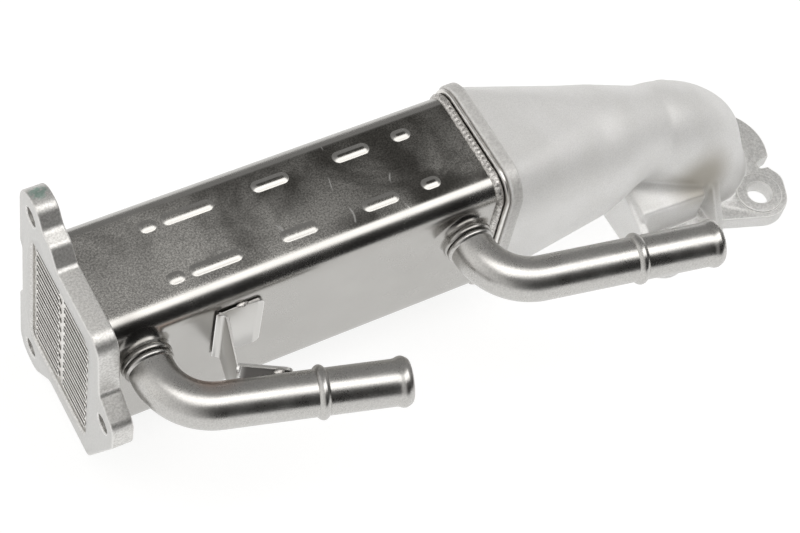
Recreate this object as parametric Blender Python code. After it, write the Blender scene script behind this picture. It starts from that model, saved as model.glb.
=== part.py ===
"""EGR cooler: flat gas tubes in a water-filled steel shell, between a bolt-on
gas inlet flange and a cast gas outlet elbow, with two bent coolant pipes.

The origin lies on the inlet gasket face, on the land above the gas window. X
runs along the body towards the outlet, -Y is the side with the coolant pipes,
and Z is up. The sizes below are written from the middle of the gas window.
"""
import math

import bmesh
import bpy
from mathutils import Vector

MM = 0.001

# General fits
GAP = 0.3 * MM
CUT_PAST = 2.0 * MM
ORIGIN_ABOVE_WINDOW = 4.5 * MM

# Steel shell
SHELL_WIDTH = 57.0 * MM
SHELL_HEIGHT = 75.0 * MM
SHELL_RADIUS = 9.75 * MM
SHELL_WALL = 1.5 * MM
SHELL_LENGTH = 179.6 * MM

# Gas inlet flange
FLANGE_THICKNESS = 9.3 * MM
FLANGE_EDGE = 0.6 * MM
WINDOW_LAND = 4.3 * MM
WINDOW_RADIUS = 5.0 * MM
WINDOW_STEP = 1.5 * MM
INLET_BOLT_BORE = 8.5 * MM
INLET_EAR_RADIUS = 11.0 * MM
INLET_TOP_BOLT = (26.4 * MM, 51.2 * MM)
INLET_LOW_BOLT = (26.6 * MM, -46.6 * MM)
INLET_FRONT_BOLT = (-42.2 * MM, 1.0 * MM)
INLET_BACK_LAND = 6.7 * MM
INLET_FRONT_LAND = 7.2 * MM
INLET_TOP_LAND = 9.3 * MM
INLET_LOW_LAND = 6.6 * MM
INLET_NOTCH_TOP = 18.5 * MM
INLET_NOTCH_LOW = -14.5 * MM
INLET_NOTCH_SLOPE = 3.0 * MM

# Header plates and gas tubes
PLATE_THICKNESS = 1.6 * MM
PLATE_RECESS = 2.0 * MM
PLATE_PROUD = 1.1 * MM
TUBE_COLUMNS = 2
TUBE_END_LAND = 2.0 * MM
TUBE_PITCH = 6.95 * MM
TUBE_HEIGHT = 4.2 * MM
TUBE_WALL = 0.5 * MM
TUBE_SIDE_LAND = 2.0 * MM
TUBE_MIDDLE_LAND = 2.6 * MM

# Tube support plates inside the water space
SUPPORT_THICKNESS = 1.2 * MM
SUPPORT_PLACES = (68.0 * MM, 118.0 * MM)

# Pressed ribs on the top of the shell
RIB_WIDTH = 3.4 * MM
RIB_RISE = 0.9 * MM
RIB_ROW_OFFSET = 13.0 * MM
RIB_SPANS = (
    (40.5 * MM, 46.5 * MM),
    (50.2 * MM, 71.2 * MM),
    (89.9 * MM, 104.8 * MM),
    (126.8 * MM, 141.7 * MM),
    (154.1 * MM, 161.0 * MM),
)

# Weld between the shell and the outlet header plate
WELD_LENGTH = 4.2 * MM
WELD_RISE = 1.7 * MM

# Coolant pipes
PIPE_RADIUS = 9.45 * MM
PIPE_WALL = 1.25 * MM
PIPE_BEND_RADIUS = 24.0 * MM
PIPE_CORNER_OFFSET = 29.5 * MM
PIPE_BEAD_RISE = 1.5 * MM
PIPE_BEAD_LENGTH = 4.6 * MM
BARB_RISE = 0.9 * MM
BARB_LENGTH = 6.5 * MM
SEAT_RING_RISE = 0.9 * MM
SEAT_RING_LENGTH = 2.6 * MM
PIPE_INSERT = 9.0 * MM
NECK_WALL = 1.1 * MM
NECK_LENGTH = 6.2 * MM
NECK_ROOT = 2.6 * MM
NECK_RIM = 2.3 * MM
NECK_GROOVE = 0.45 * MM

INLET_PIPE_SETBACK = 16.9 * MM
INLET_PIPE_DROP = 17.0 * MM
INLET_PIPE_LEAN = math.radians(15.7)
INLET_PIPE_BEAD = 57.5 * MM
INLET_PIPE_REACH = 93.0 * MM

OUTLET_PIPE_SETBACK = 17.9 * MM
OUTLET_PIPE_DROP = 20.0 * MM
OUTLET_PIPE_LEAN = math.radians(10.7)
OUTLET_PIPE_BEAD = 62.0 * MM
OUTLET_PIPE_REACH = 99.0 * MM

# Bent sheet bracket between the shell and the coolant inlet pipe
BRACKET_SHEET = 1.6 * MM
BRACKET_AWAY = 28.8 * MM
BRACKET_BELOW = 24.5 * MM
BRACKET_ABOVE = 7.5 * MM
BRACKET_TAB = 22.5 * MM
BRACKET_FOOT = 21.0 * MM
BRACKET_BEND = 2.6 * MM

# Cast gas outlet
LIP_PROUD = 3.6 * MM
LIP_LENGTH = 5.6 * MM
LIP_EDGE = 0.8 * MM
CONE_STEP = 2.2 * MM
CAST_WALL = 4.0 * MM
CONE_MIDDLE_RUN = 58.9 * MM
CONE_MIDDLE_Z = -5.6 * MM
CONE_MIDDLE_RADIUS = 30.3 * MM
ELBOW_START_RUN = 70.9 * MM
ELBOW_START_Z = -5.2 * MM
ELBOW_START_RADIUS = 26.8 * MM
ELBOW_BEND_RADIUS = 64.0 * MM
ELBOW_WAIST_RADIUS = 20.8 * MM
ELBOW_WAIST_TURN = math.radians(20.0)
ELBOW_LAST_TURN = math.radians(56.0)
PORT_RUN = 131.9 * MM
PORT_RADIUS = 23.5 * MM
OUTLET_FACE_Z = -57.0 * MM
OUTLET_THICKNESS = 7.0 * MM
OUTLET_EDGE = 0.6 * MM
OUTLET_BOLT_BORE = 11.4 * MM
OUTLET_EAR_RADIUS = 13.6 * MM
OUTLET_SMALL_EAR = 12.0 * MM
OUTLET_PAD_RADIUS = 10.8 * MM
OUTLET_PAD_RISE = 0.9 * MM
OUTLET_FAR_RUN = 151.6 * MM
OUTLET_NEAR_RUN = 92.9 * MM
OUTLET_FRONT_Y = -30.5 * MM
OUTLET_CORNER_Y = -38.0 * MM
OUTLET_BACK_RUN = 139.9 * MM
OUTLET_BACK_Y = 33.5 * MM
OUTLET_BACK_NEAR_Y = 31.0 * MM
OUTLET_NOSE_RUN = 146.2 * MM
OUTLET_NOSE_Y = -2.9 * MM
OUTLET_NOSE_RADIUS = 24.3 * MM
OUTLET_NOTCH_RADIUS = 1.6 * MM
OUTLET_SPUR_RUN = 158.5 * MM
OUTLET_SPUR_Y = -26.8 * MM
OUTLET_SPUR_RADIUS = 8.4 * MM
OUTLET_WAIST_RUN = 121.9 * MM
OUTLET_WAIST_Y = 36.0 * MM
OUTLET_BACK_WAIST_RUN = 116.4 * MM
OUTLET_BACK_WAIST_Y = 39.0 * MM
OUTLET_WAIST_RADIUS = 22.0 * MM
PEDESTAL_START_RUN = 81.4 * MM
PEDESTAL_END_RUN = 117.9 * MM
PEDESTAL_FRONT = -29.7 * MM
PEDESTAL_BACK = 20.0 * MM
PEDESTAL_TOP = -29.0 * MM
PEDESTAL_CORNER = 3.0 * MM
SUNK = 2.0 * MM
SADDLE_START_RUN = 86.9 * MM
SADDLE_HALF = 16.0 * MM
SADDLE_TOP = -19.0 * MM
RIB_SHEET = 4.6 * MM
RIB_START_RUN = 79.7 * MM
RIB_REACH = -39.5 * MM
RIB_DROP = 8.0 * MM
GUSSET_RUN = 123.9 * MM
GUSSET_WIDTH = 4.0 * MM
GUSSET_TOP = -21.0 * MM
GUSSET_REACH = -39.0 * MM

# Round detail
CORNER_STEPS = 6
ROUND_STEPS = 24
BEND_STEPS = 9

# Values worked out from the sizes above
SHELL_START = FLANGE_THICKNESS - WINDOW_LAND + GAP
SHELL_END = SHELL_START + SHELL_LENGTH
OUT_PLATE_START = SHELL_END + GAP
OUT_PLATE_END = OUT_PLATE_START + PLATE_THICKNESS
CAST_START = OUT_PLATE_END + GAP
WINDOW_WIDTH = SHELL_WIDTH - 2 * WINDOW_STEP
WINDOW_HEIGHT = SHELL_HEIGHT - 2 * WINDOW_STEP
TUBE_ROWS = 1 + int((WINDOW_HEIGHT - 2 * TUBE_END_LAND - TUBE_HEIGHT) / TUBE_PITCH)
INNER_WIDTH = SHELL_WIDTH - 2 * SHELL_WALL
INNER_HEIGHT = SHELL_HEIGHT - 2 * SHELL_WALL
INNER_RADIUS = SHELL_RADIUS - SHELL_WALL
FRONT_Y = -SHELL_WIDTH / 2
INLET_PIPE_X = SHELL_START + INLET_PIPE_SETBACK
INLET_PIPE_Z = SHELL_HEIGHT / 2 - INLET_PIPE_DROP
OUTLET_PIPE_X = SHELL_END - OUTLET_PIPE_SETBACK
OUTLET_PIPE_Z = SHELL_HEIGHT / 2 - OUTLET_PIPE_DROP
NECK_END_Y = FRONT_Y - NECK_LENGTH
NECK_BORE = PIPE_RADIUS + GAP
NECK_RADIUS = NECK_BORE + NECK_WALL
OUTLET_TOP_Z = OUTLET_FACE_Z + OUTLET_THICKNESS
LIP_END = CAST_START + LIP_LENGTH
CONE_MIDDLE_X = CAST_START + CONE_MIDDLE_RUN
ELBOW_START_X = CAST_START + ELBOW_START_RUN
PORT_X = CAST_START + PORT_RUN
OUTLET_FAR_X = CAST_START + OUTLET_FAR_RUN
OUTLET_NEAR_X = CAST_START + OUTLET_NEAR_RUN
OUTLET_BACK_X = CAST_START + OUTLET_BACK_RUN
OUTLET_NOSE_X = CAST_START + OUTLET_NOSE_RUN
OUTLET_SPUR_X = CAST_START + OUTLET_SPUR_RUN
OUTLET_WAIST_X = CAST_START + OUTLET_WAIST_RUN
OUTLET_BACK_WAIST_X = CAST_START + OUTLET_BACK_WAIST_RUN
PEDESTAL_START = CAST_START + PEDESTAL_START_RUN
PEDESTAL_END = CAST_START + PEDESTAL_END_RUN
SADDLE_START = CAST_START + SADDLE_START_RUN
RIB_START = CAST_START + RIB_START_RUN
GUSSET_X = CAST_START + GUSSET_RUN
LIP_WIDTH = SHELL_WIDTH + 2 * LIP_PROUD
LIP_HEIGHT = SHELL_HEIGHT + 2 * LIP_PROUD
LIP_RADIUS = SHELL_RADIUS + LIP_PROUD
CONE_WIDTH = LIP_WIDTH - 2 * CONE_STEP
CONE_HEIGHT = LIP_HEIGHT - 2 * CONE_STEP
CONE_RADIUS = LIP_RADIUS - CONE_STEP


def clear_scene():
    """Remove every object of the start scene."""
    for old in list(bpy.data.objects):
        bpy.data.objects.remove(old, do_unlink=True)


def material(name, colour, roughness, metallic=1.0):
    """A plain Principled material."""
    made = bpy.data.materials.new(name)
    made.use_nodes = True
    shader = made.node_tree.nodes["Principled BSDF"]
    shader.inputs["Base Color"].default_value = (*colour, 1.0)
    shader.inputs["Roughness"].default_value = roughness
    shader.inputs["Metallic"].default_value = metallic
    return made


def add_object(name, mesh_data, finish, smooth_angle=35.0):
    """Link a finished mesh to the scene as one sub-part."""
    piece = bpy.data.objects.new(name, mesh_data)
    bpy.context.scene.collection.objects.link(piece)
    if finish is not None:
        piece.data.materials.append(finish)
    mesh_data.shade_smooth()
    mesh_data.set_sharp_from_angle(angle=math.radians(smooth_angle))
    return piece


def lofted(name, rings, finish=None, ring_closed=False):
    """A closed body through rings of equal count.

    The end rings are capped, or joined to each other where ring_closed is set.
    """
    bm = bmesh.new()
    loops = [[bm.verts.new(point) for point in ring] for ring in rings]
    count = len(loops[0])
    pairs = list(zip(loops, loops[1:]))
    if ring_closed:
        pairs.append((loops[-1], loops[0]))
    for low, high in pairs:
        for i in range(count):
            j = (i + 1) % count
            bm.faces.new((low[i], low[j], high[j], high[i]))
    if not ring_closed:
        bm.faces.new(list(reversed(loops[0])))
        bm.faces.new(loops[-1])
    bmesh.ops.triangulate(bm, faces=[face for face in bm.faces if len(face.verts) == 4])
    bmesh.ops.recalc_face_normals(bm, faces=bm.faces)
    data = bpy.data.meshes.new(name)
    bm.to_mesh(data)
    bm.free()
    return add_object(name, data, finish)


def joined(name, parts):
    """Put several separate helper bodies into one helper object."""
    bm = bmesh.new()
    for part in parts:
        bm.from_mesh(part.data)
        bpy.data.objects.remove(part, do_unlink=True)
    data = bpy.data.meshes.new(name)
    bm.to_mesh(data)
    bm.free()
    return add_object(name, data, None)


def boolean(piece, tool, operation):
    """Cut or join a hidden helper body."""
    tool.hide_render = True
    tool.display_type = "WIRE"
    step = piece.modifiers.new(tool.name, "BOOLEAN")
    step.operation = operation
    step.solver = "EXACT"
    step.object = tool
    tool.hide_set(True)


def rounded_rect(width, height, radius, steps=CORNER_STEPS):
    """Outline of a rounded rectangle, as (across, up) pairs."""
    outline = []
    for quarter, (side, level) in enumerate(((1, 1), (-1, 1), (-1, -1), (1, -1))):
        centre = (side * (width / 2 - radius), level * (height / 2 - radius))
        for i in range(steps + 1):
            angle = math.radians(90 * (quarter + i / steps))
            outline.append((centre[0] + radius * math.cos(angle), centre[1] + radius * math.sin(angle)))
    return outline


def filleted(corners, steps=5):
    """Outline through corner points (a, b, radius), each corner rounded by an arc."""
    outline = []
    count = len(corners)
    for i, (a, b, radius) in enumerate(corners):
        here = Vector((a, b))
        back = (Vector(corners[i - 1][:2]) - here).normalized()
        ahead = (Vector(corners[(i + 1) % count][:2]) - here).normalized()
        half = back.angle(ahead) / 2
        middle = (back + ahead).normalized()
        centre = here + middle * (radius / math.sin(half))
        start = here + back * (radius / math.tan(half)) - centre
        end = here + ahead * (radius / math.tan(half)) - centre
        turn = start.angle_signed(end)
        for k in range(steps + 1):
            angle = -turn * k / steps
            spoke = Vector((
                start.x * math.cos(angle) - start.y * math.sin(angle),
                start.x * math.sin(angle) + start.y * math.cos(angle),
            ))
            outline.append(tuple(centre + spoke))
    return outline


def inset(outline, distance):
    """The outline moved inwards along the mean normal of each point."""
    count = len(outline)
    area = sum(
        outline[i][0] * outline[(i + 1) % count][1] - outline[(i + 1) % count][0] * outline[i][1]
        for i in range(count)
    )
    side = 1 if area > 0 else -1
    moved = []
    for i in range(count):
        before = Vector(outline[i - 1])
        after = Vector(outline[(i + 1) % count])
        along = (after - before).normalized()
        moved.append((outline[i][0] - side * along.y * distance, outline[i][1] + side * along.x * distance))
    return moved


def stadium(width, height, steps=4):
    """Outline of a flat tube with fully round sides."""
    radius = height / 2
    outline = []
    for side in (1, -1):
        for i in range(steps + 1):
            angle = math.radians(180 * i / steps - 90)
            across = side * (width / 2 - radius + radius * math.cos(angle))
            outline.append((across, side * radius * math.sin(angle)))
    return outline


def blend(first, last, share):
    """Outline part of the way from one outline to another with as many points."""
    return [
        (a + (c - a) * share, b + (d - b) * share)
        for (a, b), (c, d) in zip(first, last)
    ]


def even_round(radius):
    """Circle with its points in the same order as those of rounded_rect."""
    count = CORNER_STEPS + 1
    outline = []
    for quarter in range(4):
        for i in range(count):
            angle = math.radians(90 * (quarter + (i + 0.5) / count))
            outline.append((radius * math.cos(angle), radius * math.sin(angle)))
    return outline


def belt(circles, step=math.radians(15)):
    """Outline that runs round circles (x, y, radius) like a belt, counter-clockwise.

    A negative radius makes a hollow: the belt passes that circle on its other side.
    """
    turns = []
    for i, (x, y, radius) in enumerate(circles):
        next_x, next_y, next_radius = circles[(i + 1) % len(circles)]
        line = math.atan2(next_y - y, next_x - x)
        share = (radius - next_radius) / math.hypot(next_x - x, next_y - y)
        turns.append(line - math.acos(max(-1.0, min(1.0, share))))
    outline = []
    for i, (x, y, radius) in enumerate(circles):
        start = turns[i - 1]
        sweep = (turns[i] - start) % (2 * math.pi)
        if radius < 0:
            sweep -= 2 * math.pi
        count = max(1, math.ceil(abs(sweep) / step))
        for k in range(count + 1):
            angle = start + sweep * k / count
            outline.append((x + radius * math.cos(angle), y + radius * math.sin(angle)))
    return outline


def notch(first, last, radius, slack):
    """Hollow circle that fills the corner on the right of two circles that cross."""
    reach_first = first[2] + radius + slack
    reach_last = last[2] + radius + slack
    apart = math.hypot(last[0] - first[0], last[1] - first[1])
    line = math.atan2(last[1] - first[1], last[0] - first[0])
    cosine = (apart ** 2 + reach_first ** 2 - reach_last ** 2) / (2 * apart * reach_first)
    angle = line - math.acos(max(-1.0, min(1.0, cosine)))
    return (
        first[0] + reach_first * math.cos(angle),
        first[1] + reach_first * math.sin(angle),
        -radius,
    )


def ring_x(outline, x, z_offset=0.0):
    """An outline stood up at one X place."""
    return [(x, a, b + z_offset) for a, b in outline]


def ring_z(outline, z):
    """An outline laid flat at one Z level."""
    return [(a, b, z) for a, b in outline]


def circle(radius, steps=ROUND_STEPS):
    """Round outline about its own centre."""
    return [
        (radius * math.cos(2 * math.pi * i / steps), radius * math.sin(2 * math.pi * i / steps))
        for i in range(steps)
    ]


def pin_x(name, place, radius, start, end):
    """Round helper along X at a (y, z) place."""
    outline = [(place[0] + a, place[1] + b) for a, b in circle(radius)]
    return lofted(name, [ring_x(outline, start), ring_x(outline, end)])


def pin_z(name, place, radius, low, high):
    """Round helper along Z at an (x, y) place."""
    outline = [(place[0] + a, place[1] + b) for a, b in circle(radius)]
    return lofted(name, [ring_z(outline, low), ring_z(outline, high)])


def turned_y(name, x, z, profile):
    """Body turned about a line along Y, from (y, radius) pairs."""
    rings = [[(x + a, y, z + b) for a, b in circle(radius)] for y, radius in profile]
    return lofted(name, rings)


def tube_places():
    """Centre (y, z) of each gas tube, with its outer width."""
    half = WINDOW_WIDTH / 2
    width = half - TUBE_SIDE_LAND - TUBE_MIDDLE_LAND / 2
    centre_y = TUBE_MIDDLE_LAND / 2 + width / 2
    for column in range(TUBE_COLUMNS):
        y = (-1 if column == 0 else 1) * centre_y
        for row in range(TUBE_ROWS):
            yield y, (row - (TUBE_ROWS - 1) / 2) * TUBE_PITCH, width


def tube_slots(name, start, end):
    """One helper that opens a clear slot round every gas tube."""
    slots = []
    for y, z, width in tube_places():
        outline = stadium(width + 2 * GAP, TUBE_HEIGHT + 2 * GAP)
        moved = [(y + a, z + b) for a, b in outline]
        slots.append(lofted(name + "_slot", [ring_x(moved, start), ring_x(moved, end)]))
    return joined(name, slots)


def build_gas_tubes(finish):
    """Flat tubes that carry the exhaust gas through the water."""
    start = PLATE_RECESS
    end = OUT_PLATE_END
    for number, (y, z, width) in enumerate(tube_places(), 1):
        outer = [(y + a, z + b) for a, b in stadium(width, TUBE_HEIGHT)]
        inner = stadium(width - 2 * TUBE_WALL, TUBE_HEIGHT - 2 * TUBE_WALL)
        bore = [(y + a, z + b) for a, b in inner]
        rings = [ring_x(outer, start), ring_x(outer, end), ring_x(bore, end), ring_x(bore, start)]
        lofted("gas_tube_%02d" % number, rings, finish, ring_closed=True)


def inlet_flange_outline():
    """Face outline of the gas inlet flange, with three bolt ears, as (y, z)."""
    top_y, top_z = INLET_TOP_BOLT
    low_y, low_z = INLET_LOW_BOLT
    ear_y, ear_z = INLET_FRONT_BOLT
    ear = INLET_EAR_RADIUS
    half_width = SHELL_WIDTH / 2
    half_height = SHELL_HEIGHT / 2
    notch_y = half_width + INLET_BACK_LAND
    front_y = -half_width - INLET_FRONT_LAND
    top = half_height + INLET_TOP_LAND
    low = -half_height - INLET_LOW_LAND
    tip_y = ear_y - 0.84 * ear
    return filleted([
        (top_y + ear, top_z + ear, ear),
        (top_y + ear, INLET_NOTCH_TOP + INLET_NOTCH_SLOPE, 0.27 * ear),
        (notch_y, INLET_NOTCH_TOP, 0.27 * ear),
        (notch_y, INLET_NOTCH_LOW, 0.27 * ear),
        (low_y + ear, INLET_NOTCH_LOW - INLET_NOTCH_SLOPE, 0.27 * ear),
        (low_y + ear, low_z - ear, ear),
        (low_y - 0.5 * ear, low_z - ear, 0.7 * ear),
        (low_y - 1.75 * ear, low, 0.5 * ear),
        (front_y + 0.43 * ear, low - 0.07 * ear, 0.4 * ear),
        (tip_y, ear_z - 0.45 * ear, 0.7 * ear),
        (tip_y, ear_z + 0.72 * ear, 0.6 * ear),
        (front_y - 0.2 * ear, ear_z + 1.44 * ear, 0.35 * ear),
        (front_y, top, 0.8 * ear),
        (top_y - 2.2 * ear, top, 0.35 * ear),
        (top_y - 1.6 * ear, top_z + 0.24 * ear, 0.45 * ear),
        (top_y - 0.95 * ear, top_z + 0.36 * ear, 0.45 * ear),
        (top_y - 0.47 * ear, top_z + ear, 0.6 * ear),
    ])


def build_inlet_flange(finish):
    """Cast flange whose front is the inlet gasket face, at X = 0."""
    outline = inlet_flange_outline()
    trimmed = inset(outline, FLANGE_EDGE)
    flange = lofted("inlet_flange", [
        ring_x(trimmed, 0.0),
        ring_x(outline, FLANGE_EDGE),
        ring_x(outline, FLANGE_THICKNESS - FLANGE_EDGE),
        ring_x(trimmed, FLANGE_THICKNESS),
    ], finish)
    window = rounded_rect(WINDOW_WIDTH, WINDOW_HEIGHT, WINDOW_RADIUS)
    boolean(flange, lofted("inlet_window", [
        ring_x(window, -CUT_PAST), ring_x(window, FLANGE_THICKNESS + CUT_PAST)]), "DIFFERENCE")
    pocket = rounded_rect(SHELL_WIDTH + 2 * GAP, SHELL_HEIGHT + 2 * GAP, SHELL_RADIUS + GAP)
    boolean(flange, lofted("shell_pocket", [
        ring_x(pocket, FLANGE_THICKNESS - WINDOW_LAND),
        ring_x(pocket, FLANGE_THICKNESS + CUT_PAST)]), "DIFFERENCE")
    places = (INLET_TOP_BOLT, INLET_LOW_BOLT, INLET_FRONT_BOLT)
    bores = [
        pin_x("inlet_bolt_bore", place, INLET_BOLT_BORE / 2, -CUT_PAST, FLANGE_THICKNESS + CUT_PAST)
        for place in places
    ]
    boolean(flange, joined("inlet_bolt_bores", bores), "DIFFERENCE")


def build_header_plate(name, outline, start, finish):
    """Plate that the ends of all gas tubes pass through."""
    end = start + PLATE_THICKNESS
    plate = lofted(name, [ring_x(outline, start), ring_x(outline, end)], finish)
    boolean(plate, tube_slots(name + "_slots", start - CUT_PAST, end + CUT_PAST), "DIFFERENCE")


def build_supports(finish):
    """Plates that hold the tubes apart; each leaves a water passage at one end."""
    for number, x in enumerate(SUPPORT_PLACES, 1):
        name = "tube_support_%d" % number
        width = INNER_WIDTH - 2 * GAP
        height = INNER_HEIGHT - 2 * GAP
        outline = rounded_rect(width, height, INNER_RADIUS - GAP)
        end = x + SUPPORT_THICKNESS
        plate = lofted(name, [ring_x(outline, x), ring_x(outline, end)], finish)
        boolean(plate, tube_slots(name + "_slots", x - CUT_PAST, end + CUT_PAST), "DIFFERENCE")
        level = -1 if number % 2 else 1
        passage = height / 2 - (TUBE_ROWS / 2 - 1) * TUBE_PITCH
        middle = level * (height / 2 - passage / 2 + CUT_PAST / 2)
        window = [(a, middle + b) for a, b in rounded_rect(
            width + CUT_PAST, passage + CUT_PAST, CUT_PAST / 4, 1)]
        boolean(plate, lofted(name + "_passage", [
            ring_x(window, x - CUT_PAST), ring_x(window, end + CUT_PAST)]), "DIFFERENCE")


def rib_body(name, start, end, y, width, low, high):
    """Long pressed rib with round ends and a softened crown."""
    length = end - start
    centre = (start + end) / 2
    crown = min(RIB_RISE, width / 3)
    levels = ((low, 0.0), (high - crown, 0.0), (high - crown * 0.3, crown * 0.35), (high, crown))
    rings = []
    for level, trim in levels:
        outline = stadium(length - 2 * trim, width - 2 * trim)
        rings.append([(centre + a, y + b, level) for a, b in outline])
    return lofted(name, rings)


def neck_body(name, x, z):
    """Pulled neck that takes a coolant pipe, with a root that runs out into the face."""
    root = NECK_RADIUS + NECK_ROOT
    waist = NECK_RADIUS - NECK_GROOVE
    return turned_y(name, x, z, [
        (FRONT_Y + SHELL_WALL / 2, root),
        (FRONT_Y, root),
        (FRONT_Y - NECK_ROOT * 0.12, root - NECK_ROOT * 0.5),
        (FRONT_Y - NECK_ROOT * 0.45, waist + NECK_ROOT * 0.2),
        (FRONT_Y - NECK_ROOT, waist),
        (NECK_END_Y + NECK_RIM + NECK_GROOVE, waist),
        (NECK_END_Y + NECK_RIM, NECK_RADIUS),
        (NECK_END_Y + NECK_GROOVE, NECK_RADIUS),
        (NECK_END_Y, waist),
    ])


def build_shell(finish):
    """Steel water jacket with pressed ribs and two pulled pipe necks."""
    outline = rounded_rect(SHELL_WIDTH, SHELL_HEIGHT, SHELL_RADIUS)
    shell = lofted("shell", [ring_x(outline, SHELL_START), ring_x(outline, SHELL_END)], finish)
    top = SHELL_HEIGHT / 2
    ribs = []
    grooves = []
    for y in (-RIB_ROW_OFFSET, RIB_ROW_OFFSET):
        for start, end in RIB_SPANS:
            ribs.append(rib_body("rib", start, end, y, RIB_WIDTH, top - SHELL_WALL / 2, top + RIB_RISE))
            grooves.append(rib_body(
                "groove", start + SHELL_WALL / 2, end - SHELL_WALL / 2, y, RIB_WIDTH - SHELL_WALL,
                top - SHELL_WALL - CUT_PAST, top + RIB_RISE - SHELL_WALL))
    boolean(shell, joined("shell_ribs", ribs), "UNION")
    ports = ((INLET_PIPE_X, INLET_PIPE_Z), (OUTLET_PIPE_X, OUTLET_PIPE_Z))
    boolean(shell, joined("shell_necks", [neck_body("neck", x, z) for x, z in ports]), "UNION")
    inner = rounded_rect(INNER_WIDTH, INNER_HEIGHT, INNER_RADIUS)
    boolean(shell, lofted("shell_inside", [
        ring_x(inner, SHELL_START - CUT_PAST), ring_x(inner, SHELL_END + CUT_PAST)]), "DIFFERENCE")
    boolean(shell, joined("shell_grooves", grooves), "DIFFERENCE")
    bores = [
        turned_y("neck_bore", x, z, [
            (NECK_END_Y - CUT_PAST, NECK_BORE), (FRONT_Y + SHELL_WALL + CUT_PAST, NECK_BORE)])
        for x, z in ports
    ]
    boolean(shell, joined("neck_bores", bores), "DIFFERENCE")


def build_weld(finish):
    """Weld bead round the shell where it meets the outlet header plate."""
    start = SHELL_END - WELD_LENGTH
    profile = (
        (0.0, GAP),
        (0.2, GAP + 0.55 * WELD_RISE),
        (0.45, GAP + 0.95 * WELD_RISE),
        (0.75, GAP + 0.95 * WELD_RISE),
        (1.0, GAP + 0.6 * WELD_RISE),
        (1.0, GAP),
    )
    rings = [
        ring_x(rounded_rect(SHELL_WIDTH + 2 * rise, SHELL_HEIGHT + 2 * rise, SHELL_RADIUS + rise),
               start + share * WELD_LENGTH)
        for share, rise in profile
    ]
    lofted("outlet_weld_bead", rings, finish, ring_closed=True)


def pipe_bend(corner, along):
    """Centre points and directions round the bend of a coolant pipe."""
    turn = Vector((0, -1, 0)).angle(along)
    start = corner + Vector((0, 1, 0)) * (PIPE_BEND_RADIUS * math.tan(turn / 2))
    centre = start + Vector((PIPE_BEND_RADIUS, 0, 0))
    bend = []
    for i in range(BEND_STEPS + 1):
        angle = turn * i / BEND_STEPS
        point = centre + PIPE_BEND_RADIUS * Vector((-math.cos(angle), -math.sin(angle), 0))
        bend.append((point, Vector((math.sin(angle), -math.cos(angle), 0))))
    return bend


def build_pipe(name, x, z, lean, bead_place, reach, finish):
    """Bent coolant pipe with a seat ring, a stop bead and a hose barb, open right through."""
    out = Vector((0, -1, 0))
    along = Vector((math.cos(lean), -math.sin(lean), 0))
    corner = Vector((x, FRONT_Y - PIPE_CORNER_OFFSET, z))
    bend = pipe_bend(corner, along)

    def at_start(y, radius):
        return (Vector((x, y, z)), out, radius)

    def on_run(distance, radius):
        return (corner + along * distance, along, radius)

    inside_y = NECK_END_Y + PIPE_INSERT
    seat_y = NECK_END_Y - GAP
    ring_end = seat_y - SEAT_RING_LENGTH
    seat = PIPE_RADIUS + SEAT_RING_RISE
    stop = PIPE_RADIUS + PIPE_BEAD_RISE
    barb = PIPE_RADIUS + BARB_RISE
    outer = [
        at_start(inside_y, PIPE_RADIUS),
        at_start(seat_y, PIPE_RADIUS),
        at_start(seat_y - 0.1 * SEAT_RING_LENGTH, seat - 0.3 * SEAT_RING_RISE),
        at_start(seat_y - 0.4 * SEAT_RING_LENGTH, seat),
        at_start(seat_y - 0.75 * SEAT_RING_LENGTH, seat - 0.3 * SEAT_RING_RISE),
        at_start(ring_end, PIPE_RADIUS),
    ]
    outer += [(point, direction, PIPE_RADIUS) for point, direction in bend]
    for share, height in ((-0.5, 0.0), (-0.3, 0.75), (0.0, 1.0), (0.3, 0.75), (0.5, 0.0)):
        radius = PIPE_RADIUS + (stop - PIPE_RADIUS) * height
        outer.append(on_run(bead_place + share * PIPE_BEAD_LENGTH, radius))
    for back, height in ((1.0, 0.0), (0.55, 0.9), (0.4, 1.0), (0.12, 0.15), (0.0, -0.6)):
        radius = PIPE_RADIUS + (barb - PIPE_RADIUS) * height
        outer.append(on_run(reach - back * BARB_LENGTH, radius))
    bore = PIPE_RADIUS - PIPE_WALL
    inner = [on_run(reach, bore)]
    inner += [(point, direction, bore) for point, direction in reversed(bend)]
    inner.append(at_start(inside_y, bore))
    rings = []
    for point, direction, radius in outer + inner:
        across = direction.cross(Vector((0, 0, 1)))
        rings.append([point + across * a + Vector((0, 0, 1)) * b for a, b in circle(radius)])
    lofted(name, rings, finish, ring_closed=True)


def strip(name, path, sheet, low, high, finish):
    """Bent sheet: a centre path in plan, thickened, standing from low to high."""
    left = []
    right = []
    for i, point in enumerate(path):
        before = path[max(i - 1, 0)]
        after = path[min(i + 1, len(path) - 1)]
        along = (after - before).normalized()
        across = Vector((-along.y, along.x)) * (sheet / 2)
        left.append(point + across)
        right.append(point - across)
    outline = [tuple(point) for point in left + right[::-1]]
    return lofted(name, [ring_z(outline, low), ring_z(outline, high)], finish)


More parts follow.
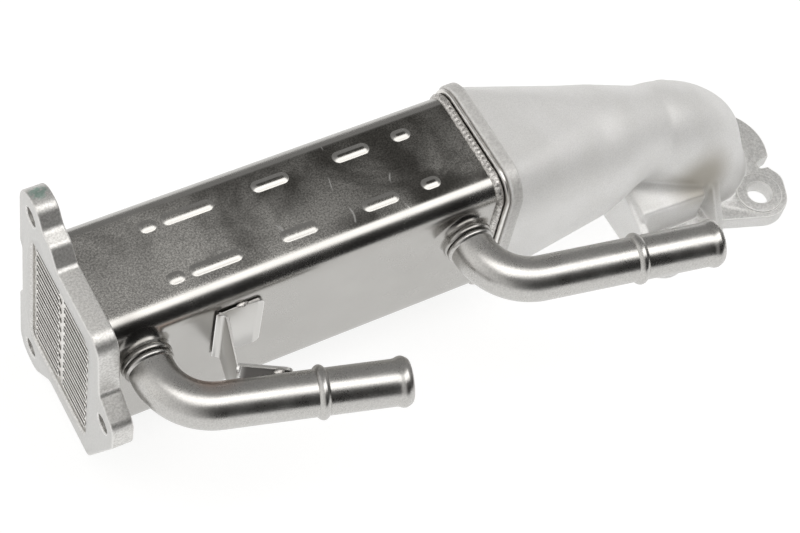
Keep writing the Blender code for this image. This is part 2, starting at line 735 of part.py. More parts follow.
def build_bracket(finish):
    """U-shaped sheet bracket: tab on the shell, web outwards, foot along the pipe."""
    half = BRACKET_SHEET / 2
    along = Vector((math.cos(INLET_PIPE_LEAN), -math.sin(INLET_PIPE_LEAN)))
    normal = Vector((along.y, -along.x)) * -1
    corner = Vector((INLET_PIPE_X, FRONT_Y - PIPE_CORNER_OFFSET))
    tab_y = FRONT_Y - GAP - half
    web_x = INLET_PIPE_X + BRACKET_AWAY + half
    foot_line = corner + normal * (PIPE_RADIUS + GAP + half)
    foot_y = foot_line.y + (web_x - foot_line.x) * along.y / along.x
    inner_corner = Vector((web_x, tab_y))
    outer_corner = Vector((web_x, foot_y))
    tab_end = Vector((web_x + BRACKET_TAB, tab_y))
    foot_end = outer_corner + along * BRACKET_FOOT
    path = [tab_end]
    for here, back, ahead in (
        (inner_corner, tab_end, outer_corner), (outer_corner, inner_corner, foot_end)):
        into = (back - here).normalized()
        onward = (ahead - here).normalized()
        half_angle = into.angle(onward) / 2
        centre = here + (into + onward).normalized() * (BRACKET_BEND / math.sin(half_angle))
        first = here + into * (BRACKET_BEND / math.tan(half_angle)) - centre
        last = here + onward * (BRACKET_BEND / math.tan(half_angle)) - centre
        turn = -first.angle_signed(last)
        for k in range(5):
            angle = turn * k / 4
            path.append(centre + Vector((
                first.x * math.cos(angle) - first.y * math.sin(angle),
                first.x * math.sin(angle) + first.y * math.cos(angle))))
    path.append(foot_end)
    low = INLET_PIPE_Z - BRACKET_BELOW
    high = INLET_PIPE_Z + BRACKET_ABOVE
    strip("support_bracket", path, BRACKET_SHEET, low, high, finish)


def duct_rings(wall, start, end_z):
    """Sections of the gas duct: rounded box, cone, then a bend down to the flange.

    The wall is the distance kept inside the outer skin, and 0 gives that skin.
    """
    width = CONE_WIDTH - 2 * wall
    height = CONE_HEIGHT - 2 * wall
    box = rounded_rect(width, height, CONE_RADIUS - wall)
    middle = even_round(CONE_MIDDLE_RADIUS - wall)
    rings = [ring_x(box, start)]
    cone_steps = 5
    for i in range(cone_steps + 1):
        share = i / cone_steps
        x = LIP_END + (CONE_MIDDLE_X - LIP_END) * share
        rings.append(ring_x(blend(box, middle, share), x, CONE_MIDDLE_Z * share))
    centre = Vector((ELBOW_START_X, 0, ELBOW_START_Z - ELBOW_BEND_RADIUS))
    bend_steps = 9
    port = PORT_RADIUS + CAST_WALL - wall
    for i in range(bend_steps + 1):
        turn = ELBOW_LAST_TURN * i / bend_steps
        if turn < ELBOW_WAIST_TURN:
            share = turn / ELBOW_WAIST_TURN
            ease = 1 - (1 - share) ** 1.6
            radius = ELBOW_START_RADIUS + (ELBOW_WAIST_RADIUS - ELBOW_START_RADIUS) * ease - wall
        else:
            share = (turn - ELBOW_WAIST_TURN) / (ELBOW_LAST_TURN - ELBOW_WAIST_TURN)
            radius = ELBOW_WAIST_RADIUS - wall
            radius += (port - radius) * 0.8 * share ** 0.85
        outward = Vector((math.sin(turn), 0, math.cos(turn)))
        middle_point = centre + outward * ELBOW_BEND_RADIUS
        rings.append([
            tuple(middle_point + Vector((0, a, 0)) + outward * b) for a, b in even_round(radius)
        ])
    rings.append([(PORT_X + b, a, end_z) for a, b in even_round(port)])
    return rings


def outlet_bolt_places():
    """Bolt centres of the outlet flange as (x, y), with the radius of the ear round each."""
    return (
        (OUTLET_FAR_X, OUTLET_FRONT_Y, OUTLET_EAR_RADIUS),
        (OUTLET_BACK_X, OUTLET_BACK_Y, OUTLET_SMALL_EAR),
        (OUTLET_NEAR_X, OUTLET_BACK_NEAR_Y, OUTLET_SMALL_EAR),
        (OUTLET_NEAR_X, OUTLET_CORNER_Y, OUTLET_SMALL_EAR),
    )


def outlet_flange_outline():
    """Plan outline of the outlet flange: four bolt ears and a round nose, as (x, y)."""
    front_far, back_far, back_near, front_near = outlet_bolt_places()
    nose = (OUTLET_NOSE_X, OUTLET_NOSE_Y, OUTLET_NOSE_RADIUS)
    spur = (OUTLET_SPUR_X, OUTLET_SPUR_Y, OUTLET_SPUR_RADIUS)
    return belt([
        front_far,
        spur,
        notch(spur, nose, OUTLET_NOTCH_RADIUS, GAP),
        nose,
        notch(nose, back_far, OUTLET_NOTCH_RADIUS, GAP),
        back_far,
        (OUTLET_BACK_WAIST_X, OUTLET_BACK_WAIST_Y + OUTLET_WAIST_RADIUS, -OUTLET_WAIST_RADIUS),
        back_near,
        front_near,
        (OUTLET_WAIST_X, -OUTLET_WAIST_Y - OUTLET_WAIST_RADIUS, -OUTLET_WAIST_RADIUS),
    ])


def build_outlet_casting(finish):
    """Cast gas outlet: lip, cone, elbow, bolt flange, pedestal and gussets, in one piece."""
    body = lofted("outlet_casting", duct_rings(0.0, LIP_END - LIP_EDGE, OUTLET_TOP_Z - OUTLET_EDGE), finish)
    lip = rounded_rect(LIP_WIDTH, LIP_HEIGHT, LIP_RADIUS)
    boolean(body, lofted("outlet_lip", [
        ring_x(inset(lip, LIP_EDGE), CAST_START),
        ring_x(lip, CAST_START + LIP_EDGE),
        ring_x(lip, LIP_END - LIP_EDGE),
        ring_x(inset(lip, LIP_EDGE), LIP_END),
    ]), "UNION")
    outline = outlet_flange_outline()
    boolean(body, lofted("outlet_flange", [
        ring_z(inset(outline, OUTLET_EDGE), OUTLET_FACE_Z),
        ring_z(outline, OUTLET_FACE_Z + OUTLET_EDGE),
        ring_z(outline, OUTLET_TOP_Z - OUTLET_EDGE),
        ring_z(inset(outline, OUTLET_EDGE), OUTLET_TOP_Z),
    ]), "UNION")
    base = OUTLET_TOP_Z - OUTLET_THICKNESS / 2
    plan = rounded_rect(PEDESTAL_END - PEDESTAL_START, PEDESTAL_BACK - PEDESTAL_FRONT, PEDESTAL_CORNER, 3)
    middle_x = (PEDESTAL_START + PEDESTAL_END) / 2
    middle_y = (PEDESTAL_FRONT + PEDESTAL_BACK) / 2
    slab = [(middle_x + a, middle_y + b) for a, b in plan]
    boolean(body, lofted("outlet_pedestal", [
        ring_z(slab, base - SUNK / 4), ring_z(slab, PEDESTAL_TOP)]), "UNION")
    saddle = [
        ((SADDLE_START + PEDESTAL_END) / 2 + a, b)
        for a, b in rounded_rect(PEDESTAL_END - SADDLE_START, 2 * SADDLE_HALF, PEDESTAL_CORNER, 3)
    ]
    boolean(body, lofted("outlet_saddle", [
        ring_z(saddle, PEDESTAL_TOP - SUNK), ring_z(saddle, SADDLE_TOP)]), "UNION")
    rib = [(0.0, OUTLET_FACE_Z + SUNK), (RIB_REACH, OUTLET_FACE_Z + SUNK),
           (RIB_REACH, PEDESTAL_TOP - RIB_DROP), (PEDESTAL_FRONT / 2, PEDESTAL_TOP + GAP),
           (0.0, PEDESTAL_TOP + GAP)]
    boolean(body, lofted("outlet_rib", [
        ring_x(rib, RIB_START), ring_x(rib, RIB_START + RIB_SHEET)]), "UNION")
    web = [(0.0, base), (GUSSET_REACH, base), (GUSSET_REACH, OUTLET_TOP_Z + SUNK),
           (PEDESTAL_FRONT / 2, GUSSET_TOP), (0.0, GUSSET_TOP)]
    boolean(body, lofted("outlet_gusset", [
        ring_x(web, GUSSET_X - GUSSET_WIDTH / 2), ring_x(web, GUSSET_X + GUSSET_WIDTH / 2)]), "UNION")
    places = [(x, y) for x, y, _ in outlet_bolt_places()]
    pads = [
        pin_z("outlet_pad", place, OUTLET_PAD_RADIUS, base - SUNK / 2, OUTLET_TOP_Z + OUTLET_PAD_RISE)
        for place in places
    ]
    boolean(body, joined("outlet_pads", pads), "UNION")
    boolean(body, lofted("outlet_passage", duct_rings(
        CAST_WALL, CAST_START - CUT_PAST, OUTLET_FACE_Z - CUT_PAST)), "DIFFERENCE")
    bores = [
        pin_z("outlet_bore", place, OUTLET_BOLT_BORE / 2, OUTLET_FACE_Z - CUT_PAST,
              OUTLET_TOP_Z + OUTLET_PAD_RISE + CUT_PAST)
        for place in places
    ]
    boolean(body, joined("outlet_bores", bores), "DIFFERENCE")


def place_on_origin():
    """Hang every body on one empty, which sets the origin on the land above the window."""
    holder = bpy.data.objects.new("cooler_origin", None)
    holder.location.z = -WINDOW_HEIGHT / 2 - ORIGIN_ABOVE_WINDOW
    bodies = list(bpy.context.scene.objects)
    bpy.context.scene.collection.objects.link(holder)
    for body in bodies:
        body.parent = holder


def main():
    clear_scene()
    flange_steel = material("flange_steel", (0.64, 0.63, 0.61), 0.4)
    cast_steel = material("cast_steel", (0.66, 0.65, 0.62), 0.42)
    shell_steel = material("shell_steel", (0.55, 0.54, 0.53), 0.3)
    bracket_steel = material("bracket_steel", (0.5, 0.49, 0.47), 0.38)
    pipe_steel = material("pipe_steel", (0.66, 0.65, 0.62), 0.2)
    tube_steel = material("tube_steel", (0.5, 0.49, 0.47), 0.35)
    weld_metal = material("weld_metal", (0.45, 0.43, 0.4), 0.45)
    build_inlet_flange(flange_steel)
    build_header_plate("inlet_header_plate", rounded_rect(
        WINDOW_WIDTH - 2 * GAP, WINDOW_HEIGHT - 2 * GAP, WINDOW_RADIUS - GAP), PLATE_RECESS, tube_steel)
    build_header_plate("outlet_header_plate", rounded_rect(
        SHELL_WIDTH + 2 * PLATE_PROUD, SHELL_HEIGHT + 2 * PLATE_PROUD, SHELL_RADIUS + PLATE_PROUD),
        OUT_PLATE_START, tube_steel)
    build_gas_tubes(tube_steel)
    build_supports(tube_steel)
    build_shell(shell_steel)
    build_weld(weld_metal)
    build_pipe("coolant_inlet_pipe", INLET_PIPE_X, INLET_PIPE_Z, INLET_PIPE_LEAN,
               INLET_PIPE_BEAD, INLET_PIPE_REACH, pipe_steel)
    build_pipe("coolant_outlet_pipe", OUTLET_PIPE_X, OUTLET_PIPE_Z, OUTLET_PIPE_LEAN,
               OUTLET_PIPE_BEAD, OUTLET_PIPE_REACH, pipe_steel)
    build_bracket(bracket_steel)
    build_outlet_casting(cast_steel)
    place_on_origin()


main()
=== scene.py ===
"""Looks for the EGR cooler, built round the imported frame.

Sizes are in millimetres, measured from the middle of the inlet gas window, and
new_object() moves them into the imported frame. X runs towards the outlet, -Y is
the side with the coolant pipes, and Z is up.
"""
import math

import bmesh
import bpy
import numpy as np
from mathutils import Matrix, Vector


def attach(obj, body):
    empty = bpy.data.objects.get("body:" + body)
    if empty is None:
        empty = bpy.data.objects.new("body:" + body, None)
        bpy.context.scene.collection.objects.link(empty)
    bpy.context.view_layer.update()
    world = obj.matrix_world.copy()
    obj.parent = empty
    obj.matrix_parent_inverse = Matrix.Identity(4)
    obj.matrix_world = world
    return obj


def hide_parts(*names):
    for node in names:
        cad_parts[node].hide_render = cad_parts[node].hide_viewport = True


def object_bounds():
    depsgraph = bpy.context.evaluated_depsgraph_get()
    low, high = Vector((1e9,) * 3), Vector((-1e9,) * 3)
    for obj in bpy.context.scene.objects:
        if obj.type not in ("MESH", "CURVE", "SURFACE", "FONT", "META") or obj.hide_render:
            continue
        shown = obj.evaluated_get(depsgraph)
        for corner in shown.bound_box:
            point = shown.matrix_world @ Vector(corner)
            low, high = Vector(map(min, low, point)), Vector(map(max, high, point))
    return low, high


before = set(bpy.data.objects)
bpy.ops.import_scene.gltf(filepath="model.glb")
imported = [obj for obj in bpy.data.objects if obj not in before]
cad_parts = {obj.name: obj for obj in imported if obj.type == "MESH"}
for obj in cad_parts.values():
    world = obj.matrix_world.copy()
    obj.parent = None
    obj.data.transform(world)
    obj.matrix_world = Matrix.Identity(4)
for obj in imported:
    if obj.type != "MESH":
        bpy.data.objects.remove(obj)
CAD_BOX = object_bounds()

MM = 0.001
ORIGIN_RISE = 40.5
CORNER_STEPS = 12

# Shell
SHELL_WIDTH = 57.0
SHELL_HEIGHT = 75.0
SHELL_RADIUS = 9.75
SHELL_WALL = 1.5
SHELL_START = 5.3
SHELL_END = 184.9
FRONT_Y = -28.5
FLAT_Y = SHELL_WIDTH / 2 - SHELL_RADIUS
FLAT_Z = SHELL_HEIGHT / 2 - SHELL_RADIUS
RIB_HALF = 2.8
RIB_RISE = 0.85
RIB_REACH = 3.6
RIB_ROWS = (-13.0, 13.0)
RIB_SPANS = ((40.5, 46.5), (50.2, 71.2), (89.9, 104.8), (126.8, 141.7), (154.1, 161.0))
SHEET_WAVE = 0.07
WELD_WIDTH = 3.6
WELD_STEPS = 420

# Inlet flange, header plates and tubes
FLANGE_THICKNESS = 9.3
WINDOW = (54.0, 72.0, 5.0)
POCKET_START = 5.0
INLET_BOLTS = ((26.4, 51.2), (26.6, -46.6), (-42.2, 1.0))
INLET_BORE = 8.5
PLATE_START = 2.0
PLATE_THICKNESS = 1.6
PLATE_OUTLINE = (53.5, 71.5, 4.75)
TUBE_WIDTH = 23.7
TUBE_HEIGHT = 4.2
TUBE_WALL = 0.5
TUBE_Y = 13.15
TUBE_ROWS = 10
TUBE_PITCH = 6.95
TUBE_START = 1.3
TUBE_END = 186.8

# Coolant pipes
PIPE_RADIUS = 9.45
PIPE_WALL = 1.25
PIPE_BEND = 24.0
PIPE_CORNER_Y = -58.0
NECK_RADIUS = 10.85
NECK_LENGTH = 6.2
NECK_ROOT = 2.6
# each pipe's x, z, lean in degrees, and its bead's and its end's way from the corner
INLET_PIPE = (22.2, 20.5, 15.7, 57.5, 93.0)
OUTLET_PIPE = (167.0, 17.5, 10.7, 62.0, 99.0)
PIPE_INNER_Y = -25.7
SEAT_LENGTH = 2.6
SEAT_RISE = 0.95
BEAD_HALF = 2.3
BEAD_RISE = 1.5
BARB_PLACES = (0.0, 0.4, 0.8, 2.0, 2.6, 3.6, 5.4, 6.5)
BARB_RISES = (-0.5, -0.1, 0.14, 0.72, 0.88, 0.8, 0.12, 0.0)

# Support bracket
BRACKET_HALF = 0.8
BRACKET_GAP = 0.3
BRACKET_AWAY = 28.8
BRACKET_TAB = 22.5
BRACKET_FOOT = 21.0
BRACKET_FOLD = 2.6
BRACKET_ROUND = 3.0
BRACKET_EDGE = 0.25
BRACKET_BELOW = 24.5
BRACKET_ABOVE = 7.5
BRACKET_FOOT_ABOVE = 2.4
BRACKET_SLOPE_Y = (-52.5, -33.0)

# Outlet casting; circles are (x, y, radius), and a negative radius is a hollow
CAST_START = 187.1
LIP_END = 192.7
LIP = (64.2, 82.2, 13.35)
CONE = (59.8, 77.8, 11.15)
CAST_WALL = 4.0
CONE_MIDDLE = (246.0, -5.6, 30.3)
ELBOW_START = (258.0, -5.2, 26.8)
ELBOW_BEND = 64.0
WAIST_RADIUS = 20.8
WAIST_TURN = 20.0
LAST_TURN = 56.0
PORT_X = 319.0
PORT_RADIUS = 23.5
FACE_Z = -57.0
PLATE_TOP_Z = -50.0
OUTLET_BORE = 11.4
FRONT_FAR = (338.7, -30.5, 13.6)
BACK_FAR = (327.0, 33.5, 12.0)
BACK_NEAR = (280.0, 31.0, 12.0)
FRONT_NEAR = (280.0, -38.0, 12.0)
OUTLET_EARS = (FRONT_FAR, BACK_FAR, BACK_NEAR, FRONT_NEAR)
FLANGE_NOSE = (333.3, -2.9, 24.3)
FLANGE_SPUR = (345.6, -26.8, 8.4)
BACK_HOLLOW = (303.5, 61.0, -22.0)
FRONT_HOLLOW = (309.0, -58.0, -22.0)
NOTCH_RADIUS = 1.6
PAD_RADIUS = 10.8
PAD_TOP_Z = -49.1
PEDESTAL_MIDDLE = (286.75, -4.85)
PEDESTAL_SIZE = (36.5, 49.7, 2.0)
PEDESTAL_TOP_Z = -33.5
COVE_Y = -29.7
COVE_LOW_Z = -40.0
COVE_SECTIONS = ((269.5, -29.2, -14.5, -26.0), (304.5, -33.2, -20.6, -14.0))
GUSSET = ((0.0, -55.0), (-39.5, -55.0), (-39.5, -38.0), (-14.0, -27.5), (0.0, -27.5))
GUSSET_X = (266.8, 271.4)
WEB = ((0.0, -53.5), (-40.0, -53.5), (-40.0, -50.0), (-19.0, -20.0), (0.0, -20.0))
WEB_X = (309.0, 313.0)
MELT_SIZE = 0.85

# Studio
SOFTBOX_LIGHT = 2.4
LEFT_LIGHT = 0.8
FLOOR_HALF = 4.0
FLOOR_LIGHT = 1.2


def ring_x(outline, x, lift=0.0):
    """An outline of (y, z) pairs stood up at one X place."""
    return [(x, a, b + lift) for a, b in outline]


def ring_z(outline, z):
    """An outline of (x, y) pairs laid flat at one Z level."""
    return [(a, b, z) for a, b in outline]


def circle(radius, steps=48, centre=(0.0, 0.0)):
    """Round outline."""
    turns = [2 * math.pi * i / steps for i in range(steps)]
    return [(centre[0] + radius * math.cos(t), centre[1] + radius * math.sin(t)) for t in turns]


def rounded_rect(width, height, radius):
    """Outline of a rounded rectangle, counter-clockwise."""
    outline = []
    for quarter, (side, level) in enumerate(((1, 1), (-1, 1), (-1, -1), (1, -1))):
        centre = (side * (width / 2 - radius), level * (height / 2 - radius))
        for i in range(CORNER_STEPS + 1):
            angle = math.radians(90 * (quarter + i / CORNER_STEPS))
            outline.append((centre[0] + radius * math.cos(angle), centre[1] + radius * math.sin(angle)))
    return outline


def even_round(radius):
    """Circle with its points in the same order as those of rounded_rect."""
    count = 4 * (CORNER_STEPS + 1)
    turns = [2 * math.pi * (i + 0.5) / count for i in range(count)]
    return [(radius * math.cos(t), radius * math.sin(t)) for t in turns]


def stadium(width, height, steps=9):
    """Outline of a flat tube with fully round sides."""
    radius = height / 2
    outline = []
    for side in (1, -1):
        for i in range(steps + 1):
            angle = math.radians(180 * i / steps - 90)
            across = side * (width / 2 - radius + radius * math.cos(angle))
            outline.append((across, side * radius * math.sin(angle)))
    return outline


def blend(first, last, share):
    """Outline part of the way between two outlines."""
    return [(a + (c - a) * share, b + (d - b) * share) for (a, b), (c, d) in zip(first, last)]


def filleted(corners, steps=9):
    """Outline through corner points (a, b, radius), each corner rounded by an arc."""
    outline = []
    for i, (a, b, radius) in enumerate(corners):
        here = Vector((a, b))
        back = (Vector(corners[i - 1][:2]) - here).normalized()
        ahead = (Vector(corners[(i + 1) % len(corners)][:2]) - here).normalized()
        half = back.angle(ahead) / 2
        centre = here + (back + ahead).normalized() * (radius / math.sin(half))
        start = here + back * (radius / math.tan(half)) - centre
        end = here + ahead * (radius / math.tan(half)) - centre
        turn = start.angle_signed(end)
        for k in range(steps + 1):
            spoke = Matrix.Rotation(-turn * k / steps, 2) @ start
            outline.append(tuple(centre + spoke))
    return outline


def inset(outline, distance):
    """The outline moved inwards along the mean normal of each point."""
    points = np.array(outline)
    after = np.roll(points, -1, 0)
    side = 1 if (points[:, 0] * after[:, 1] - after[:, 0] * points[:, 1]).sum() > 0 else -1
    along = after - np.roll(points, 1, 0)
    along /= np.linalg.norm(along, axis=1)[:, None]
    moved = points + side * distance * np.stack([-along[:, 1], along[:, 0]], 1)
    return [tuple(point) for point in moved]


def belt(circles, step=math.radians(7)):
    """Outline that runs round circles (x, y, radius) like a belt; a negative radius is a hollow."""
    turns = []
    for i, (x, y, radius) in enumerate(circles):
        next_x, next_y, next_radius = circles[(i + 1) % len(circles)]
        line = math.atan2(next_y - y, next_x - x)
        share = (radius - next_radius) / math.hypot(next_x - x, next_y - y)
        turns.append(line - math.acos(max(-1.0, min(1.0, share))))
    outline = []
    for i, (x, y, radius) in enumerate(circles):
        sweep = (turns[i] - turns[i - 1]) % (2 * math.pi)
        if radius < 0:
            sweep -= 2 * math.pi
        count = max(1, math.ceil(abs(sweep) / step))
        for k in range(count + 1):
            angle = turns[i - 1] + sweep * k / count
            outline.append((x + radius * math.cos(angle), y + radius * math.sin(angle)))
    return outline


def notch(first, last, radius, slack=0.3):
    """Hollow circle that fills the corner on the right of two circles that cross."""
    reach_first = first[2] + radius + slack
    reach_last = last[2] + radius + slack
    apart = math.hypot(last[0] - first[0], last[1] - first[1])
    line = math.atan2(last[1] - first[1], last[0] - first[0])
    cosine = (apart ** 2 + reach_first ** 2 - reach_last ** 2) / (2 * apart * reach_first)
    angle = line - math.acos(max(-1.0, min(1.0, cosine)))
    return (first[0] + reach_first * math.cos(angle), first[1] + reach_first * math.sin(angle), -radius)


def new_object(name, points, faces):
    """A mesh object from points in millimetres, with its faces turned outwards."""
    moved = (np.asarray(points, float) - (0.0, 0.0, ORIGIN_RISE)) * MM
    data = bpy.data.meshes.new(name)
    data.from_pydata(moved, [], faces)
    bm = bmesh.new()
    bm.from_mesh(data)
    bmesh.ops.recalc_face_normals(bm, faces=bm.faces)
    bm.to_mesh(data)
    bm.free()
    made = bpy.data.objects.new(name, data)
    bpy.context.scene.collection.objects.link(made)
    return made


def lofted(name, rings, ring_closed=False):
    """A closed body through rings of equal count, capped unless the rings close on themselves."""
    rings = np.asarray(rings, float)
    rows, count = rings.shape[:2]
    faces = []
    for i in range(rows if ring_closed else rows - 1):
        low = i * count
        high = (i + 1) % rows * count
        for j in range(count):
            k = (j + 1) % count
            faces.append((low + j, low + k, high + k, high + j))
    if not ring_closed:
        faces.append(tuple(range(count))[::-1])
        faces.append(tuple(range((rows - 1) * count, rows * count)))
    return new_object(name, rings.reshape(-1, 3), faces)


def shell_ring(x, grow):
    """The shell's outline, grown by a distance, at one X place."""
    outline = rounded_rect(SHELL_WIDTH + 2 * grow, SHELL_HEIGHT + 2 * grow, SHELL_RADIUS + grow)
    return ring_x(outline, x)


def bevelled(name, outline, low, high, edge, stand):
    """A plate of one outline with rounded edges, stood up by ring_x or ring_z."""
    turns = [math.radians(30 * k) for k in range(4)]
    steps = [(edge * (1 - math.sin(turn)), edge * (1 - math.cos(turn))) for turn in turns]
    rings = [stand(inset(outline, trim), low + away) for trim, away in steps]
    rings += [stand(inset(outline, trim), high - away) for trim, away in steps[::-1]]
    return lofted(name, rings)


def joined(parts):
    """Several bodies put into the first one's mesh, still separate shells."""
    bm = bmesh.new()
    for part in parts:
        bm.from_mesh(part.data)
    bm.to_mesh(parts[0].data)
    bm.free()
    for part in parts[1:]:
        bpy.data.objects.remove(part, do_unlink=True)
    return parts[0]


def settle(piece):
    """Replace a piece's mesh by what its modifiers make of it."""
    graph = bpy.context.evaluated_depsgraph_get()
    made = bpy.data.meshes.new_from_object(piece.evaluated_get(graph))
    piece.modifiers.clear()
    piece.data = made


def combine(piece, tool, operation="DIFFERENCE"):
    """Cut with a helper body, or join it, and remove the helper."""
    step = piece.modifiers.new("combine", "BOOLEAN")
    step.operation = operation
    step.solver = "MANIFOLD"
    step.object = tool
    settle(piece)
    bpy.data.objects.remove(tool, do_unlink=True)


def finish_piece(piece, finish, nodes=(), angle=35.0):
    """Give a finished piece its shading, material, body and the nodes it stands for."""
    piece.data.materials.clear()
    piece.data.materials.append(finish)
    piece.data.shade_smooth()
    piece.data.set_sharp_from_angle(angle=math.radians(angle))
    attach(piece, "root")
    if nodes:
        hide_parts(*nodes)


class Nodes:
    """Small helper that adds nodes to one node tree and links them."""

    def __init__(self, tree):
        self.tree = tree

    def node(self, kind, **settings):
        made = self.tree.nodes.new(kind)
        for key, value in settings.items():
            setattr(made, key, value)
        return made

    def feed(self, socket, value):
        if isinstance(value, bpy.types.NodeSocket):
            self.tree.links.new(value, socket)
        else:
            socket.default_value = value

    def feed_all(self, sockets, values):
        for socket, value in zip(sockets, values):
            self.feed(socket, value)

    def math(self, operation, first, second=0.0, third=0.0):
        made = self.node("ShaderNodeMath", operation=operation)
        self.feed_all(made.inputs, (first, second, third))
        return made.outputs[0]

    def spread(self, value, low, high, to_low=0.0, to_high=1.0):
        """Map a value from one range to another, smoothly and held at both ends."""
        made = self.node("ShaderNodeMapRange", interpolation_type="SMOOTHSTEP")
        self.feed_all(made.inputs, (value, low, high, to_low, to_high))
        return made.outputs[0]

    def either(self, share, first, second):
        """Mix of two shaders, by the share of the second."""
        made = self.node("ShaderNodeMixShader")
        self.feed_all(made.inputs, (share, first, second))
        return made.outputs[0]


class Finish(Nodes):
    """Helper that builds one procedural metal from nodes."""

    def __init__(self, name, metallic=1.0):
        self.material = bpy.data.materials.new(name)
        self.material.use_nodes = True
        super().__init__(self.material.node_tree)
        self.shader = self.tree.nodes["Principled BSDF"]
        self.shader.inputs["Metallic"].default_value = metallic
        self.place = self.node("ShaderNodeTexCoord").outputs["Object"]
        self.normal = self.node("ShaderNodeNewGeometry").outputs["Normal"]

    def split(self, vector):
        made = self.node("ShaderNodeSeparateXYZ")
        self.feed(made.inputs[0], vector)
        return made.outputs

    def stretched(self, scale, turn=(0.0, 0.0, 0.0)):
        made = self.node("ShaderNodeMapping")
        self.feed(made.inputs["Vector"], self.place)
        made.inputs["Scale"].default_value = scale
        made.inputs["Rotation"].default_value = turn
        return made.outputs[0]

    def noise(self, scale, detail=2.0, roughness=0.5, vector=None, distortion=0.0):
        made = self.node("ShaderNodeTexNoise")
        self.feed(made.inputs["Vector"], self.place if vector is None else vector)
        made.inputs["Scale"].default_value = scale
        made.inputs["Detail"].default_value = detail
        made.inputs["Roughness"].default_value = roughness
        made.inputs["Distortion"].default_value = distortion
        return made.outputs["Fac"]

    def mix(self, share, first, second, blend_type="MIX"):
        made = self.node("ShaderNodeMix", data_type="RGBA", blend_type=blend_type)
        sockets = [made.inputs[0], made.inputs[6], made.inputs[7]]
        for socket, value in zip(sockets, (share, first, second)):
            self.feed(socket, (*value, 1.0) if isinstance(value, tuple) else value)
        return made.outputs[2]

    def between(self, value, low, high, first, second):
        """Colour that runs from the first to the second as the value runs from low to high."""
        return self.mix(self.spread(value, low, high), first, second)

    def layered(self, value, low, high, to_low, to_high, fine, share):
        """Roughness that follows one value, with a share of a finer one added."""
        base = self.spread(value, low, high, to_low, to_high)
        return self.math("ADD", base, self.math("MULTIPLY", fine, share))

    def ball(self, centre, radius, edge):
        """One inside a ball round a place in millimetres, fading to nothing outside."""
        made = self.node("ShaderNodeVectorMath", operation="DISTANCE")
        self.feed(made.inputs[0], self.place)
        made.inputs[1].default_value = (
            centre[0] * MM, centre[1] * MM, (centre[2] - ORIGIN_RISE) * MM)
        return self.spread(made.outputs["Value"], (radius - edge) * MM, (radius + edge) * MM, 1.0, 0.0)

    def edge_highlight_mask(self, radius_mm):
        """One on outer edges, where the bevelled normal departs from the real one; it places a painted
        highlight there.
        """
        bevel = self.node("ShaderNodeBevel", samples=4)
        bevel.inputs["Radius"].default_value = radius_mm * MM
        away = self.node("ShaderNodeVectorMath", operation="DISTANCE")
        self.feed(away.inputs[0], bevel.outputs[0])
        self.feed(away.inputs[1], self.normal)
        return self.spread(away.outputs["Value"], 0.02, 0.3)

    def bump(self, *layers):
        """Bump layers of (height, depth in millimetres) one on top of the other."""
        below = None
        for height, depth in layers:
            made = self.node("ShaderNodeBump")
            made.inputs["Strength"].default_value = 1.0
            made.inputs["Distance"].default_value = depth * MM
            self.feed(made.inputs["Height"], height)
            if below is not None:
                self.feed(made.inputs["Normal"], below)
            below = made.outputs[0]
        self.feed(self.shader.inputs["Normal"], below)

    def coat(self, colour, roughness):
        self.feed(self.shader.inputs["Base Color"], colour)
        self.feed(self.shader.inputs["Roughness"], roughness)
        return self.material


